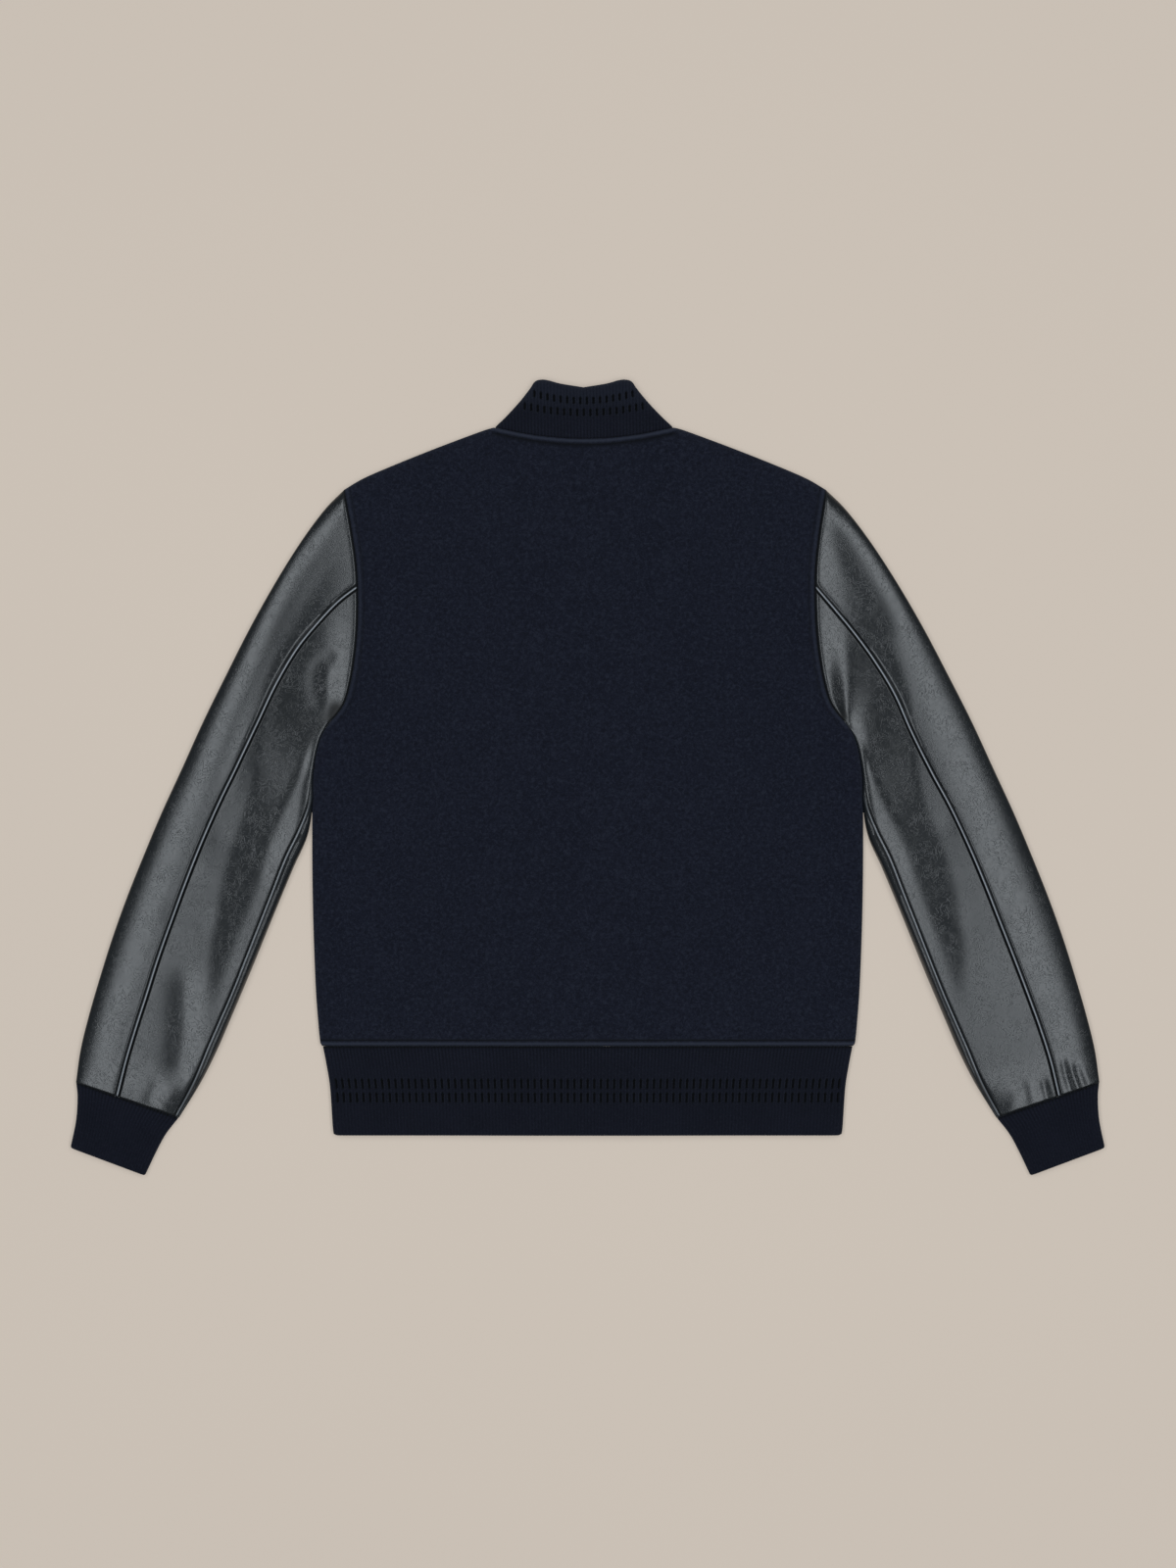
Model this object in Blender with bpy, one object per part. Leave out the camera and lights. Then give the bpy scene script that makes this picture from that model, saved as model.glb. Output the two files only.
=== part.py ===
"""A varsity jacket laid face down: wool body, leather sleeves, rib-knit collar, cuffs and hem band.

The jacket lies on the plane z = 0 with its back up, its collar towards +Y and the wearer's left
sleeve at -X. The cloth is two layers of wall, back over front, that meet at the folded edges.
Lengths are millimetres, and meshes are made in metres. Each half is described for +X and mirrored.
"""

from collections import namedtuple

import bpy
import numpy as np

MM = 0.001

# Cloth and seams
WOOL = 2.6  # melton wall
LEATHER = 3.5  # leather sleeve wall with its padded backing
RIB = 2.8  # doubled rib knit
SEAM_GAP = 0.3  # between two pieces sewn to each other
INNER_SEAM_GAP = 0.8  # the same, measured along the rings that slant across the inner seam
ARMHOLE_GAP = 0.5  # the same, measured across the slanting armhole
EDGE_INSET = 0.02  # keeps a piece's outermost points just inside the folded edge
SKIVED = 0.35  # share of a wall's thickness that is left at the underarm point
SKIVE_REACH = 30.0
RIB_RELIEF = 0.35  # a rib rises and a furrow sinks this far
RIB_PITCH = 3.1

# Levels above the surface that the jacket lies on
BODY_MID = 4.3  # where back and front meet at a folded edge
SLEEVE_MID = 4.8
CUFF_MID = 3.7
BODY_CROWN = 8.7  # top of the back near its sides
CLOSURE_CROWN = 10.9  # top of the back over the lapped fronts
CLOSURE_RAMP = (30.0, 160.0)  # it falls away between these distances from the centre
ARMHOLE_CROWN = 9.6
ARMHOLE_RAMP_X = (150.0, 225.0)
ARMHOLE_RAMP_Y = (20.0, 80.0)
RIB_STEP = 0.2  # the hem band lies this much lower than the wool
UNDER_RADIUS = 7.0  # how far in the underside rounds up to a folded edge
BODY_RADIUS = 16.0  # the same for the upper side of the body
SLEEVE_RADIUS = 28.0
CUFF_RADIUS = 9.0
HEM_RADIUS = 12.0
COLLAR_RADIUS = 9.0
FULLNESS_SHARE = 0.25  # share of the sleeve over which the body's levels turn into the sleeve's
BOWED_SHARE = 0.4  # share of the sleeve over which the armhole's bow straightens out
BOW_POWER = 1.5
STRAIGHT_DEPTH = 0.3  # closer to a folded edge than this, directions are square to it

# Front closure: the left front laps over the right one, so it lies lowest here
LAP = 15.0  # each front passes the centre by this much
LAP_LIFT = 4.5  # the right front rests on the left one
LAP_RAMP = (17.0, 46.0)  # the lift fades out between these distances from the centre
SNAP_CHANNEL = 1.5  # the left front stands off by this much over the snap caps
CHANNEL_RAMP = (11.5, 16.0)
SNAP_RADIUS = 7.0
SNAP_HEIGHT = 1.2
SNAP_BEVEL = 0.4
SNAP_SIDES = 16
SNAP_PLACES = (234.0, 141.0, 48.0, -45.0, -138.0, -231.0, -303.0)

# Body
HEM_SEAM_Y = -259.0
NECK_POINT = (86.5, 339.8)  # where shoulder, neck seam and collar meet
NECK_CENTRE_Y = 328.3
FRONT_NECK_Y = 254.0
BACK_NECK_POWER = 2
FRONT_NECK_POWER = 3
FRONT_COLLAR_TOP_Y = 311.0
FRONT_COLLAR_POWER = 1.25
LEAN = -4.0  # the collar end lies this far to one side
LEAN_LENGTH = 369.0
LEAN_POWER = 1.5

SHOULDER_LINE = ((233.0, 279.5), (213.0, 291.0), (177.0, 306.3), (139.0, 321.3), (98.8, 336.2), NECK_POINT)
ARMHOLE = (
    (233.0, 279.5), (226.5, 242.0), (221.5, 200.0), (221.5, 150.0),
    (226.0, 108.0), (233.0, 78.0), (240.5, 64.5), (249.5, 54.5),
)
BODY_SIDE = (
    (249.5, 54.5), (254.8, 46.8), (259.4, 37.0), (263.2, 22.0), (266.0, 0.0),
    (266.8, -60.0), (266.0, -130.0), (263.5, -200.0), (260.6, -240.0), (258.5, HEM_SEAM_Y),
)

# Shares of the armhole, from the shoulder point to the underarm, where both its pieces have points
BACK_SEAM_SHARE = 0.41
UPPER_STEPS = (0.002, 0.015, 0.06, 0.13, 0.22, 0.32, BACK_SEAM_SHARE)
LOWER_STEPS = (BACK_SEAM_SHARE, 0.53, 0.65, 0.76, 0.86, 0.93, 0.962)
UNDERARM_STEP = 0.9985
TURN_UP_STEP = 0.982
TURN_UP_SHARES = (0.15, 0.55, 1.0)  # columns of the top sleeve from the inner fold to its seam
FRONT_STEPS = (0.002, 0.015, 0.10, 0.25, 0.42, 0.58, 0.73, 0.85, 0.93, 0.975, UNDERARM_STEP)
# Heights of the body's rows below the underarm
SIDE_ROWS = (-259.0, -190.0, -120.0, -60.0, -10.0, 18.0, 36.0, 47.0)
# Shares of a half panel from its side fold to the centre, close together at the fold
PANEL_STEPS = (0.0, 0.004, 0.018, 0.045, 0.10, 0.22, 0.36, 0.52, 0.68, 0.84, 1.0)
NECK_COLUMNS = 5  # of those columns, counted from the centre, end in the neck seam
FRONT_NECK_X = (0.3, 9.5, 20.0, 33.0, 47.0, 60.0, 72.0, 81.0, NECK_POINT[0])
FRONT_SHOULDER_SHARES = (0.50, 0.85, 0.97, 1.0)
# The front's columns at the hem: distances from the centre, and from the side fold
FRONT_INSIDE_X = (-LAP, -9.5, 0.3, 9.5, 17.0, 31.0, 46.0, 75.0, 110.0)
FRONT_OUTSIDE_X = (110.0, 70.0, 30.0, 7.0, 1.2, 0.0)

Section = namedtuple(
    "Section", "outer_x outer_y inner_x inner_y left_seam right_seam inner_seam crown"
)
# Sleeve, shoulder to cuff: the folded edges, the back seam as a share of the width from the outer
# edge for the left and the right sleeve, the inner seam as the same share, and the crown
SLEEVE = (
    Section(233.0, 279.5, 249.5, 54.5, 0.410, 0.410, 0.962, 9.6),
    Section(252.0, 260.5, 255.5, 46.8, 0.408, 0.440, 0.964, 9.8),
    Section(275.0, 230.0, 260.3, 37.0, 0.401, 0.450, 0.966, 10.0),
    Section(300.0, 191.0, 264.3, 22.0, 0.380, 0.445, 0.968, 10.2),
    Section(325.5, 146.5, 267.4, 0.0, 0.369, 0.432, 0.968, 10.2),
    Section(349.0, 101.0, 267.8, -26.0, 0.360, 0.430, 0.958, 10.2),
    Section(372.0, 55.0, 272.3, -56.0, 0.349, 0.412, 0.935, 10.2),
    Section(393.0, 9.0, 284.0, -85.0, 0.340, 0.390, 0.928, 10.2),
    Section(413.0, -34.5, 297.5, -117.0, 0.342, 0.384, 0.936, 10.2),
    Section(430.0, -75.0, 311.0, -150.0, 0.347, 0.382, 0.940, 10.2),
    Section(446.0, -115.0, 324.0, -182.0, 0.355, 0.384, 0.943, 10.2),
    Section(460.0, -154.0, 336.0, -210.5, 0.360, 0.380, 0.946, 10.1),
    Section(472.0, -192.0, 347.5, -237.5, 0.367, 0.372, 0.943, 10.0),
    Section(483.0, -230.0, 359.0, -264.0, 0.369, 0.364, 0.940, 9.8),
    Section(491.0, -263.0, 374.5, -294.5, 0.378, 0.368, 0.955, 9.5),
    Section(495.4, -294.5, 395.5, -328.5, 0.398, 0.390, 0.972, 9.0),
)
# Places along the sleeve, counted in sections, where its walls have rings
SLEEVE_ROWS = (
    0.0, 0.45, 1.1, 1.9, 2.8, 3.8, 4.8, 5.7, 6.6, 7.6, 8.6,
    9.6, 10.6, 11.6, 12.6, 13.5, 14.3, 15.0,
)

CuffSection = namedtuple("CuffSection", "outer_x outer_y inner_x inner_y crown")
CUFF = (
    CuffSection(495.4, -294.9, 396.0, -328.9, 8.0),
    CuffSection(494.2, -309.0, 408.5, -345.0, 8.2),
    CuffSection(495.6, -331.0, 418.0, -362.5, 8.2),
    CuffSection(501.0, -357.5, 428.5, -384.6, 7.8),
)
CUFF_RIBS = 30
CUFF_ROWS = (0.0, 0.8, 2.0, 3.0)
CUFF_INNER_STRIDE = 6  # ribbed columns to one plain column inside
CUFF_EDGE_SHARE = 0.0003  # keeps the cuff's outermost points just inside its folds
CUFF_UNDER_STEPS = (0.985, 0.94, 0.80, 0.60, 0.40, 0.20, 0.06, 0.015)

HemEdge = namedtuple("HemEdge", "y half_width")
HEM = (
    HemEdge(-259.4, 256.4),
    HemEdge(-278.0, 252.8),
    HemEdge(-300.0, 249.4),
    HemEdge(-340.0, 246.6),
    HemEdge(-345.6, 244.4),
)
HEM_ROWS = (0.0, 1.4, 3.0, 4.0)
HEM_FOLD_STEP = 0.4  # first column in from the side fold
HEM_INNER_COLUMNS = (0, 1, 3, 6, 10, 16)  # at each side; farther in they are HEM_INNER_STRIDE apart
HEM_INNER_STRIDE = 14

# Upper edge of the collar, centre to neck point: a dip, the two folds and the slope down
COLLAR_TOP = (
    (0.0, 378.6), (22.0, 382.2), (34.0, 385.4), (41.0, 386.0), (47.0, 384.0),
    (52.0, 377.0), (62.0, 364.5), (76.0, 349.5), NECK_POINT,
)
COLLAR_REACH = 84.5  # the band's wall ends here, just short of the neck point
COLLAR_STEPS = (0.0, 0.45, 0.85, 0.97, 1.0)
COLLAR_FULL_HEIGHT = 12.0  # below this height the band's wall thins out towards the neck point
THINNEST_COLLAR = 0.25
COLLAR_RAMP = (40.0, 80.0)  # the band falls from the closure's level between these distances
COLLAR_FOLD_ROW = 4  # row of COLLAR_TOP where the front band meets the back one
COLLAR_FOLD_X = 44.0  # the band's edge is folded from here to the neck point
COLLAR_INNER_STRIDE = 8  # ribbed columns to one plain column inside
FRONT_COLLAR_STEPS = (0.0, 0.35, 0.70, 0.92, 1.0)

Fold = namedtuple("Fold", "side x1 y1 x2 y2 width height")
# The largest folds of the upper side: a soft ridge or trough along a line. side 0 is on both halves
FOLDS = (
    # underarm arch and the pocket below it
    Fold(-1, 268, 95, 258, 117, 7, 1.6),
    Fold(-1, 258, 117, 240, 121, 7, 1.4),
    Fold(-1, 250, 84, 242, 70, 5, -1.6),
    Fold(1, 246, 78, 237, 66, 5, -1.3),
    Fold(1, 262, 92, 252, 112, 7, 1.1),
    # near the shoulder point
    Fold(0, 243, 262, 236, 236, 9, -1.0),
    Fold(0, 262, 236, 252, 180, 12, 0.9),
    # drag lines from the underarm into the upper sleeve
    Fold(-1, 285, 60, 300, 105, 9, -1.2),
    Fold(1, 283, 50, 302, 92, 9, -1.4),
    Fold(0, 280, 10, 306, 60, 9, 1.0),
    # elbow
    Fold(-1, 318, -70, 372, -52, 11, -1.5),
    Fold(-1, 330, -96, 388, -84, 11, 0.9),
    Fold(1, 312, -58, 366, -40, 11, -1.4),
    Fold(1, 326, -88, 392, -74, 12, 0.9),
    Fold(0, 352, -136, 416, -128, 13, -1.2),
    Fold(0, 400, -165, 452, -172, 13, 0.8),
    Fold(0, 372, -214, 430, -204, 13, -1.0),
    # leather gathered above the cuff
    Fold(-1, 438, -306, 433, -284, 5, -1.6),
    Fold(-1, 428, -309, 420, -282, 5, 1.0),
    Fold(1, 441, -296, 434, -272, 6, -1.6),
    Fold(1, 470, -290, 466, -264, 6, -1.3),
    Fold(1, 455, -292, 449, -266, 6, 1.0),
    Fold(0, 412, -314, 398, -288, 6, -1.0),
    # slack in the back
    Fold(0, 225, 40, 195, -30, 22, 0.8),
    Fold(0, 190, 210, 160, 130, 24, -0.7),
    Fold(0, 120, -190, 150, -250, 22, 0.6),
)

COLOURS = {
    "navy_wool": ((0.0095, 0.0116, 0.0215), 0.95),
    "charcoal_leather": ((0.060, 0.066, 0.072), 0.42),
    "navy_rib": ((0.0080, 0.0098, 0.0185), 0.92),
    "snap_metal": ((0.30, 0.30, 0.31), 0.35),
}
METALS = ("snap_metal",)


def smoothstep(value):
    share = np.clip(value, 0.0, 1.0)
    return share * share * (3.0 - 2.0 * share)


def ramp(value, span):
    """Rises smoothly from 0 to 1 over the span."""
    low, high = span
    return smoothstep((value - low) / (high - low))


def through_rows(rows, places):
    """A smooth curve through a table's rows, read at places counted in rows."""
    rows = np.asarray(rows, float)
    slopes = np.gradient(rows, axis=0)
    places = np.asarray(places, float)
    low = np.clip(places.astype(int), 0, len(rows) - 2)
    part = (places - low)[..., None]
    start = (2 * part**3 - 3 * part**2 + 1) * rows[low]
    leave = (part**3 - 2 * part**2 + part) * slopes[low]
    end = (3 * part**2 - 2 * part**3) * rows[low + 1]
    arrive = (part**3 - part**2) * slopes[low + 1]
    return start + leave + end + arrive


def along(points, shares, samples=400):
    """The smooth curve through the points, read at shares of its length."""
    places = np.linspace(0, len(points) - 1, samples)
    curve = through_rows(points, places)
    steps = np.hypot(*np.diff(curve, axis=0).T)
    length = np.concatenate([[0.0], np.cumsum(steps)])
    wanted = np.asarray(shares, float) * length[-1]
    return np.stack([np.interp(wanted, length, curve[:, k]) for k in (0, 1)], axis=-1)


def side_at(heights):
    """The body's side fold at these heights, below the underarm."""
    curve = along(BODY_SIDE, np.linspace(0, 1, 600))
    x = np.interp(-np.asarray(heights, float), -curve[:, 1], curve[:, 0])
    return np.stack([x, np.asarray(heights, float)], axis=-1)


def table_points(table, x_name, y_name):
    return [(getattr(row, x_name), getattr(row, y_name)) for row in table]


class FoldedEdges:
    """The lines where the upper and lower layers meet, as segments with their inward directions."""

    def __init__(self, *lines):
        starts, ends, inward = [], [], []
        for line, turn in lines:
            line = np.asarray(line, float)
            along_line = np.diff(line, axis=0)
            along_line /= np.linalg.norm(along_line, axis=1, keepdims=True)
            starts.append(line[:-1])
            ends.append(line[1:])
            inward.append(turn * np.stack([along_line[:, 1], -along_line[:, 0]], axis=1))
        self.starts = np.concatenate(starts)
        self.spans = np.concatenate(ends) - self.starts
        self.inward = np.concatenate(inward)

    def depth(self, plan):
        """How far inside the nearest folded edge each point is, and the direction away from it."""
        offset = plan[..., None, :] - self.starts
        share = (offset * self.spans).sum(-1) / (self.spans**2).sum(-1)
        away = offset - np.clip(share, 0, 1)[..., None] * self.spans
        distance = np.linalg.norm(away, axis=-1)
        nearest = distance.argmin(axis=-1)
        depth = np.take_along_axis(distance, nearest[..., None], -1)[..., 0]
        away = np.take_along_axis(away, nearest[..., None, None], -2)[..., 0, :]
        radial = away / np.maximum(depth, 1e-9)[..., None]
        straight = self.inward[nearest]
        return depth, np.where((depth < STRAIGHT_DEPTH)[..., None], straight, radial)


def dense(points):
    return along(points, np.linspace(0, 1, 500))


def dense_rows(table, x_name, y_name):
    places = np.linspace(0, len(table) - 1, 600)
    return through_rows(table_points(table, x_name, y_name), places)


def collar_top_y(x):
    curve = dense(COLLAR_TOP)
    return np.interp(np.abs(x), curve[:, 0], curve[:, 1])


def collar_slope():
    curve = dense(COLLAR_TOP)
    return curve[curve[:, 0] > COLLAR_FOLD_X]


GARMENT_EDGES = FoldedEdges(
    (dense(SHOULDER_LINE), -1),
    (dense_rows(SLEEVE, "outer_x", "outer_y"), 1),
    (dense(BODY_SIDE), 1),
    (dense_rows(SLEEVE, "inner_x", "inner_y"), -1),
)
SLEEVE_EDGES = FoldedEdges(
    (dense_rows(SLEEVE, "inner_x", "inner_y"), -1),
    (dense(SHOULDER_LINE), -1),
    (dense_rows(SLEEVE, "outer_x", "outer_y"), 1),
)
CUFF_EDGES = FoldedEdges(
    (dense_rows(CUFF, "outer_x", "outer_y"), 1),
    (dense_rows(CUFF, "inner_x", "inner_y"), -1),
)
HEM_EDGES = FoldedEdges((dense_rows(HEM, "half_width", "y"), 1))
COLLAR_EDGES = FoldedEdges((dense(COLLAR_TOP), 1))
COLLAR_SLOPE_EDGES = FoldedEdges((collar_slope(), 1))


def folds_at(plan, side):
    """Height that the folds add on one half, side -1 or 1; plan is that half mirrored to +X."""
    height = np.zeros(plan.shape[:-1])
    for fold in FOLDS:
        if fold.side not in (0, side):
            continue
        start = np.array([fold.x1, fold.y1], float)
        span = np.array([fold.x2, fold.y2], float) - start
        share = np.clip(((plan - start) * span).sum(-1) / (span**2).sum(), 0, 1)
        distance = np.linalg.norm(plan - start - share[..., None] * span, axis=-1)
        height += fold.height * np.exp(-((distance / fold.width) ** 2))
    return height


def body_crown(plan):
    """Level of the back away from its folded edges: higher over the closure and at the armholes."""
    x = np.abs(plan[..., 0])
    at_armhole = ramp(x, ARMHOLE_RAMP_X) * ramp(plan[..., 1], ARMHOLE_RAMP_Y)
    return (
        BODY_CROWN
        + (CLOSURE_CROWN - BODY_CROWN) * (1.0 - ramp(x, CLOSURE_RAMP))
        + (ARMHOLE_CROWN - BODY_CROWN) * at_armhole
    )


def lap_lift(x):
    """How far the right front is lifted over the left one; x grows to the right."""
    return LAP_LIFT * (1.0 - ramp(x, LAP_RAMP))


def channel_lift(x):
    return SNAP_CHANNEL * (1.0 - ramp(np.abs(x), CHANNEL_RAMP))


def round_over(edges, plan, radius):
    """Sine and cosine of the rounding at each point, and the direction away from the edge."""
    depth, inward = edges.depth(plan)
    cosine = 1.0 - np.clip(depth / radius, 0, 1)
    return np.sqrt(1.0 - cosine**2), cosine, inward


def upper_layer(edges, plan, side, mid, crown, radius):
    """Outer points and outward directions of the layer that is seen from above."""
    sine, cosine, inward = round_over(edges, plan, radius)
    level = mid + (crown - mid + folds_at(plan, side)) * sine
    outward = np.concatenate([-inward * cosine[..., None], sine[..., None]], axis=-1)
    return np.concatenate([plan, level[..., None]], axis=-1), outward


def under_layer(edges, plan, mid, lift=0.0):
    """Outer points and outward directions of the layer that lies on the surface."""
    sine, cosine, inward = round_over(edges, plan, UNDER_RADIUS)
    level = mid * (1.0 - sine) + lift
    outward = np.concatenate([-inward * cosine[..., None], -sine[..., None]], axis=-1)
    return np.concatenate([plan, level[..., None]], axis=-1), outward


def material(name):
    found = bpy.data.materials.get(name)
    if found:
        return found
    colour, roughness = COLOURS[name]
    made = bpy.data.materials.new(name)
    made.use_nodes = True
    shader = made.node_tree.nodes["Principled BSDF"]
    shader.inputs["Base Color"].default_value = (*colour, 1.0)
    shader.inputs["Roughness"].default_value = roughness
    shader.inputs["Metallic"].default_value = 1.0 if name in METALS else 0.0
    made.diffuse_color = (*colour, 1.0)
    return made


def add_object(name, vertices, faces, material_name):
    mesh = bpy.data.meshes.new(name)
    mesh.from_pydata([tuple(vertex) for vertex in vertices], [], faces)
    mesh.update()
    mesh.shade_smooth()
    mesh.set_sharp_from_angle(angle=np.radians(40))
    mesh.materials.append(material(material_name))
    placed = bpy.data.objects.new(name, mesh)
    bpy.context.scene.collection.objects.link(placed)
    return placed


def leaned(points):
    """The collar end of the whole jacket lies a little to one side."""
    moved = np.array(points, float)
    moved[..., 0] += LEAN * (np.clip(moved[..., 1], 0, None) / LEAN_LENGTH) ** LEAN_POWER
    return moved


def signed_volume(vertices, faces):
    total = 0.0
    for face in faces:
        first = vertices[face[0]]
        for k in range(1, len(face) - 1):
            total += np.dot(first, np.cross(vertices[face[k]], vertices[face[k + 1]]))
    return total


def add_wall(name, outer, inner, inner_columns, material_name, closed=False):
    """One closed wall between a grid of outer points and a grid of inner points.

    Both grids have the same rows. inner_columns says beside which outer column each inner one is,
    so a ribbed outside can have many columns over a plain inside.
    """
    rows, columns = outer.shape[:2]
    inner_count = inner.shape[1]
    vertices = leaned(np.concatenate([outer.reshape(-1, 3), inner.reshape(-1, 3)])) * MM
    start = rows * columns
    spans = columns if closed else columns - 1
    inner_spans = inner_count if closed else inner_count - 1
    faces = []
    ends = []
    for r in range(rows - 1):
        for c in range(spans):
            right = (c + 1) % columns
            faces.append((r * columns + c, r * columns + right,
                          (r + 1) * columns + right, (r + 1) * columns + c))
        for c in range(inner_spans):
            right = (c + 1) % inner_count
            faces.append((start + r * inner_count + c, start + (r + 1) * inner_count + c,
                          start + (r + 1) * inner_count + right, start + r * inner_count + right))
    for r, turned in ((0, False), (rows - 1, True)):
        strip = []
        for c in range(inner_spans):
            right = (c + 1) % inner_count
            first = inner_columns[c]
            last = inner_columns[right] if right > c else columns + inner_columns[0]
            hub = start + r * inner_count + c
            ring = [r * columns + k % columns for k in range(first, last + 1)]
            strip += [(hub, ring[k + 1], ring[k]) for k in range(len(ring) - 2)]
            strip.append((hub, start + r * inner_count + right, ring[-1], ring[-2]))
        ends += [face[::-1] for face in strip] if turned else strip
    if not closed:
        for c, inner_c, turned in ((0, 0, True), (columns - 1, inner_count - 1, False)):
            for r in range(rows - 1):
                face = (r * columns + c, start + r * inner_count + inner_c,
                        start + (r + 1) * inner_count + inner_c, (r + 1) * columns + c)
                ends.append(face[::-1] if turned else face)
    if signed_volume(vertices, faces + ends) < 0:
        faces = [face[::-1] for face in faces]
        ends = [face[::-1] for face in ends]
    for face in ends:
        faces += sunk_halves(vertices, face)
    return add_object(name, vertices, faces, material_name)


def sunk_halves(vertices, face):
    """Splits a twisted end face along the diagonal that lies deeper, away from the next piece."""
    if len(face) == 3:
        return [face]
    a, b, c, d = (vertices[k] for k in face)
    if np.dot(np.cross(b - a, c - a), d - a) > 0:
        return [(face[0], face[1], face[2]), (face[0], face[2], face[3])]
    return [(face[0], face[1], face[3]), (face[1], face[2], face[3])]


def thickness_at(outer, full):
    """The wall's thickness, skived thinner where the layers crowd together at the underarm."""
    underarm_x, underarm_y = ARMHOLE[-1]
    reach = np.hypot(np.abs(outer[..., 0]) - underarm_x, outer[..., 1] - underarm_y)
    return full * (SKIVED + (1.0 - SKIVED) * smoothstep(reach / SKIVE_REACH))


def add_plain_wall(name, outer, outward, thickness, material_name):
    inner = outer - outward * thickness_at(outer, thickness)[..., None]
    return add_wall(name, outer, inner, range(outer.shape[1]), material_name)


def mirrored(points, side):
    turned = np.array(points, float)
    turned[..., 0] *= side
    return turned


def side_name(side):
    return "left" if side < 0 else "right"


def patch(bottom, top, left, right):
    """A grid of plan points inside four edges that share their corners (a Coons patch)."""
    rows, columns = len(left), len(bottom)
    up = edge_shares(left, right)
    across = edge_shares(bottom, top)
    v = up[:, None, None]
    u = across[None, :, None]
    ruled = (1 - v) * bottom[None] + v * top[None] + (1 - u) * left[:, None] + u * right[:, None]
    corners = ((1 - u) * (1 - v) * bottom[0] + u * (1 - v) * bottom[-1]
               + (1 - u) * v * top[0] + u * v * top[-1])
    return (ruled - corners).reshape(rows, columns, 2)


def edge_shares(first, second):
    """Shares of the way along two facing edges, taken together."""
    shares = []
    for edge in (first, second):
        steps = np.hypot(*np.diff(edge, axis=0).T)
        shares.append(np.concatenate([[0.0], np.cumsum(steps)]) / steps.sum())
    return (shares[0] + shares[1]) / 2


def side_edge(armhole_steps):
    """A half panel's outer edge, hem seam to shoulder point, just inside the fold line."""
    below = side_at(SIDE_ROWS)
    below[:, 0] -= EDGE_INSET
    return np.concatenate([below, along(ARMHOLE, armhole_steps[::-1])])


def clear_of_sleeve(outer):
    """Draws a half panel's armhole edge back from the seam."""
    outer[len(SIDE_ROWS):, -1, 0] -= ARMHOLE_GAP / 2
    return outer


def shoulder_edge(shares):
    """Points of the shoulder fold, neck point to shoulder point, kept just inside it."""
    points = along(SHOULDER_LINE[::-1], shares)
    points[:, 1] -= EDGE_INSET
    return points


def back_plan():
    """Plan points of half the back, centre to side, hem seam to neck and shoulder."""
    steps = 1.0 - np.array(PANEL_STEPS[::-1])
    right = side_edge(UPPER_STEPS + LOWER_STEPS[1:] + (TURN_UP_STEP, UNDERARM_STEP))
    neck_x = np.linspace(0, NECK_POINT[0], NECK_COLUMNS)
    neck = np.stack([neck_x, back_neck_y(neck_x)], axis=1)
    beyond = steps[NECK_COLUMNS:]
    first = steps[NECK_COLUMNS - 1]
    shoulder = shoulder_edge((beyond - first) / (1.0 - first))
    shoulder[-1] = right[-1]
    top = np.concatenate([neck, shoulder])
    bottom = np.stack([np.interp(steps, (0, 1), (0, right[0, 0])),
                       np.full(len(steps), HEM_SEAM_Y)], axis=1)
    up = edge_shares(right, right)
    left = np.stack([np.zeros(len(up)), HEM_SEAM_Y + up * (top[0, 1] - HEM_SEAM_Y)], axis=1)
    return patch(bottom, top, left, right)


def back_neck_y(x):
    """Neck seam of the back, straight between the panel's own points."""
    nodes = np.linspace(0, NECK_POINT[0], NECK_COLUMNS)
    rise = NECK_POINT[1] - NECK_CENTRE_Y
    curve = NECK_CENTRE_Y + rise * (nodes / NECK_POINT[0]) ** BACK_NECK_POWER
    return np.interp(np.abs(x), nodes, curve)


def front_neck_y(x):
    """Neck seam of the front, lower than the back's and straight between shared points."""
    nodes = np.array((0.0,) + FRONT_NECK_X)
    rise = NECK_POINT[1] - FRONT_NECK_Y
    curve = FRONT_NECK_Y + rise * (nodes / NECK_POINT[0]) ** FRONT_NECK_POWER
    return np.interp(np.abs(x), nodes, curve)


def add_back():
    half = back_plan()
    halves = []
    for side in (-1, 1):
        crown = body_crown(half)
        outer, outward = upper_layer(GARMENT_EDGES, half, side, BODY_MID, crown, BODY_RADIUS)
        outer, outward = mirrored(clear_of_sleeve(outer), side), mirrored(outward, side)
        halves.append((outer[:, ::side], outward[:, ::side]))
    outer = np.concatenate([halves[0][0][:, :-1], halves[1][0]], axis=1)
    outward = np.concatenate([halves[0][1][:, :-1], halves[1][1]], axis=1)
    outward[:, len(PANEL_STEPS) - 1, 0] = 0.0
    add_plain_wall("back", outer, outward, WOOL, "navy_wool")


def front_plan():
    """Plan points of a front, lapped centre edge to side, hem seam to neck and shoulder."""
    right = side_edge(FRONT_STEPS)
    neck_x = np.array(FRONT_INSIDE_X[:2] + FRONT_NECK_X)
    neck = np.stack([neck_x, front_neck_y(neck_x) - SEAM_GAP], axis=1)
    neck[-1] = NECK_POINT
    neck[-1, 1] -= SEAM_GAP
    top = np.concatenate([neck, shoulder_edge(FRONT_SHOULDER_SHARES)])
    top[-1] = right[-1]
    bottom_x = np.concatenate([FRONT_INSIDE_X, right[0, 0] - np.array(FRONT_OUTSIDE_X)])
    bottom = np.stack([bottom_x, np.full(len(bottom_x), HEM_SEAM_Y)], axis=1)
    up = edge_shares(right, right)
    left = np.stack([np.full(len(up), -LAP), HEM_SEAM_Y + up * (top[0, 1] - HEM_SEAM_Y)], axis=1)
    return patch(bottom, top, left, right)


def closure_lift(x, side):
    return channel_lift(x) if side < 0 else lap_lift(x)


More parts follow.
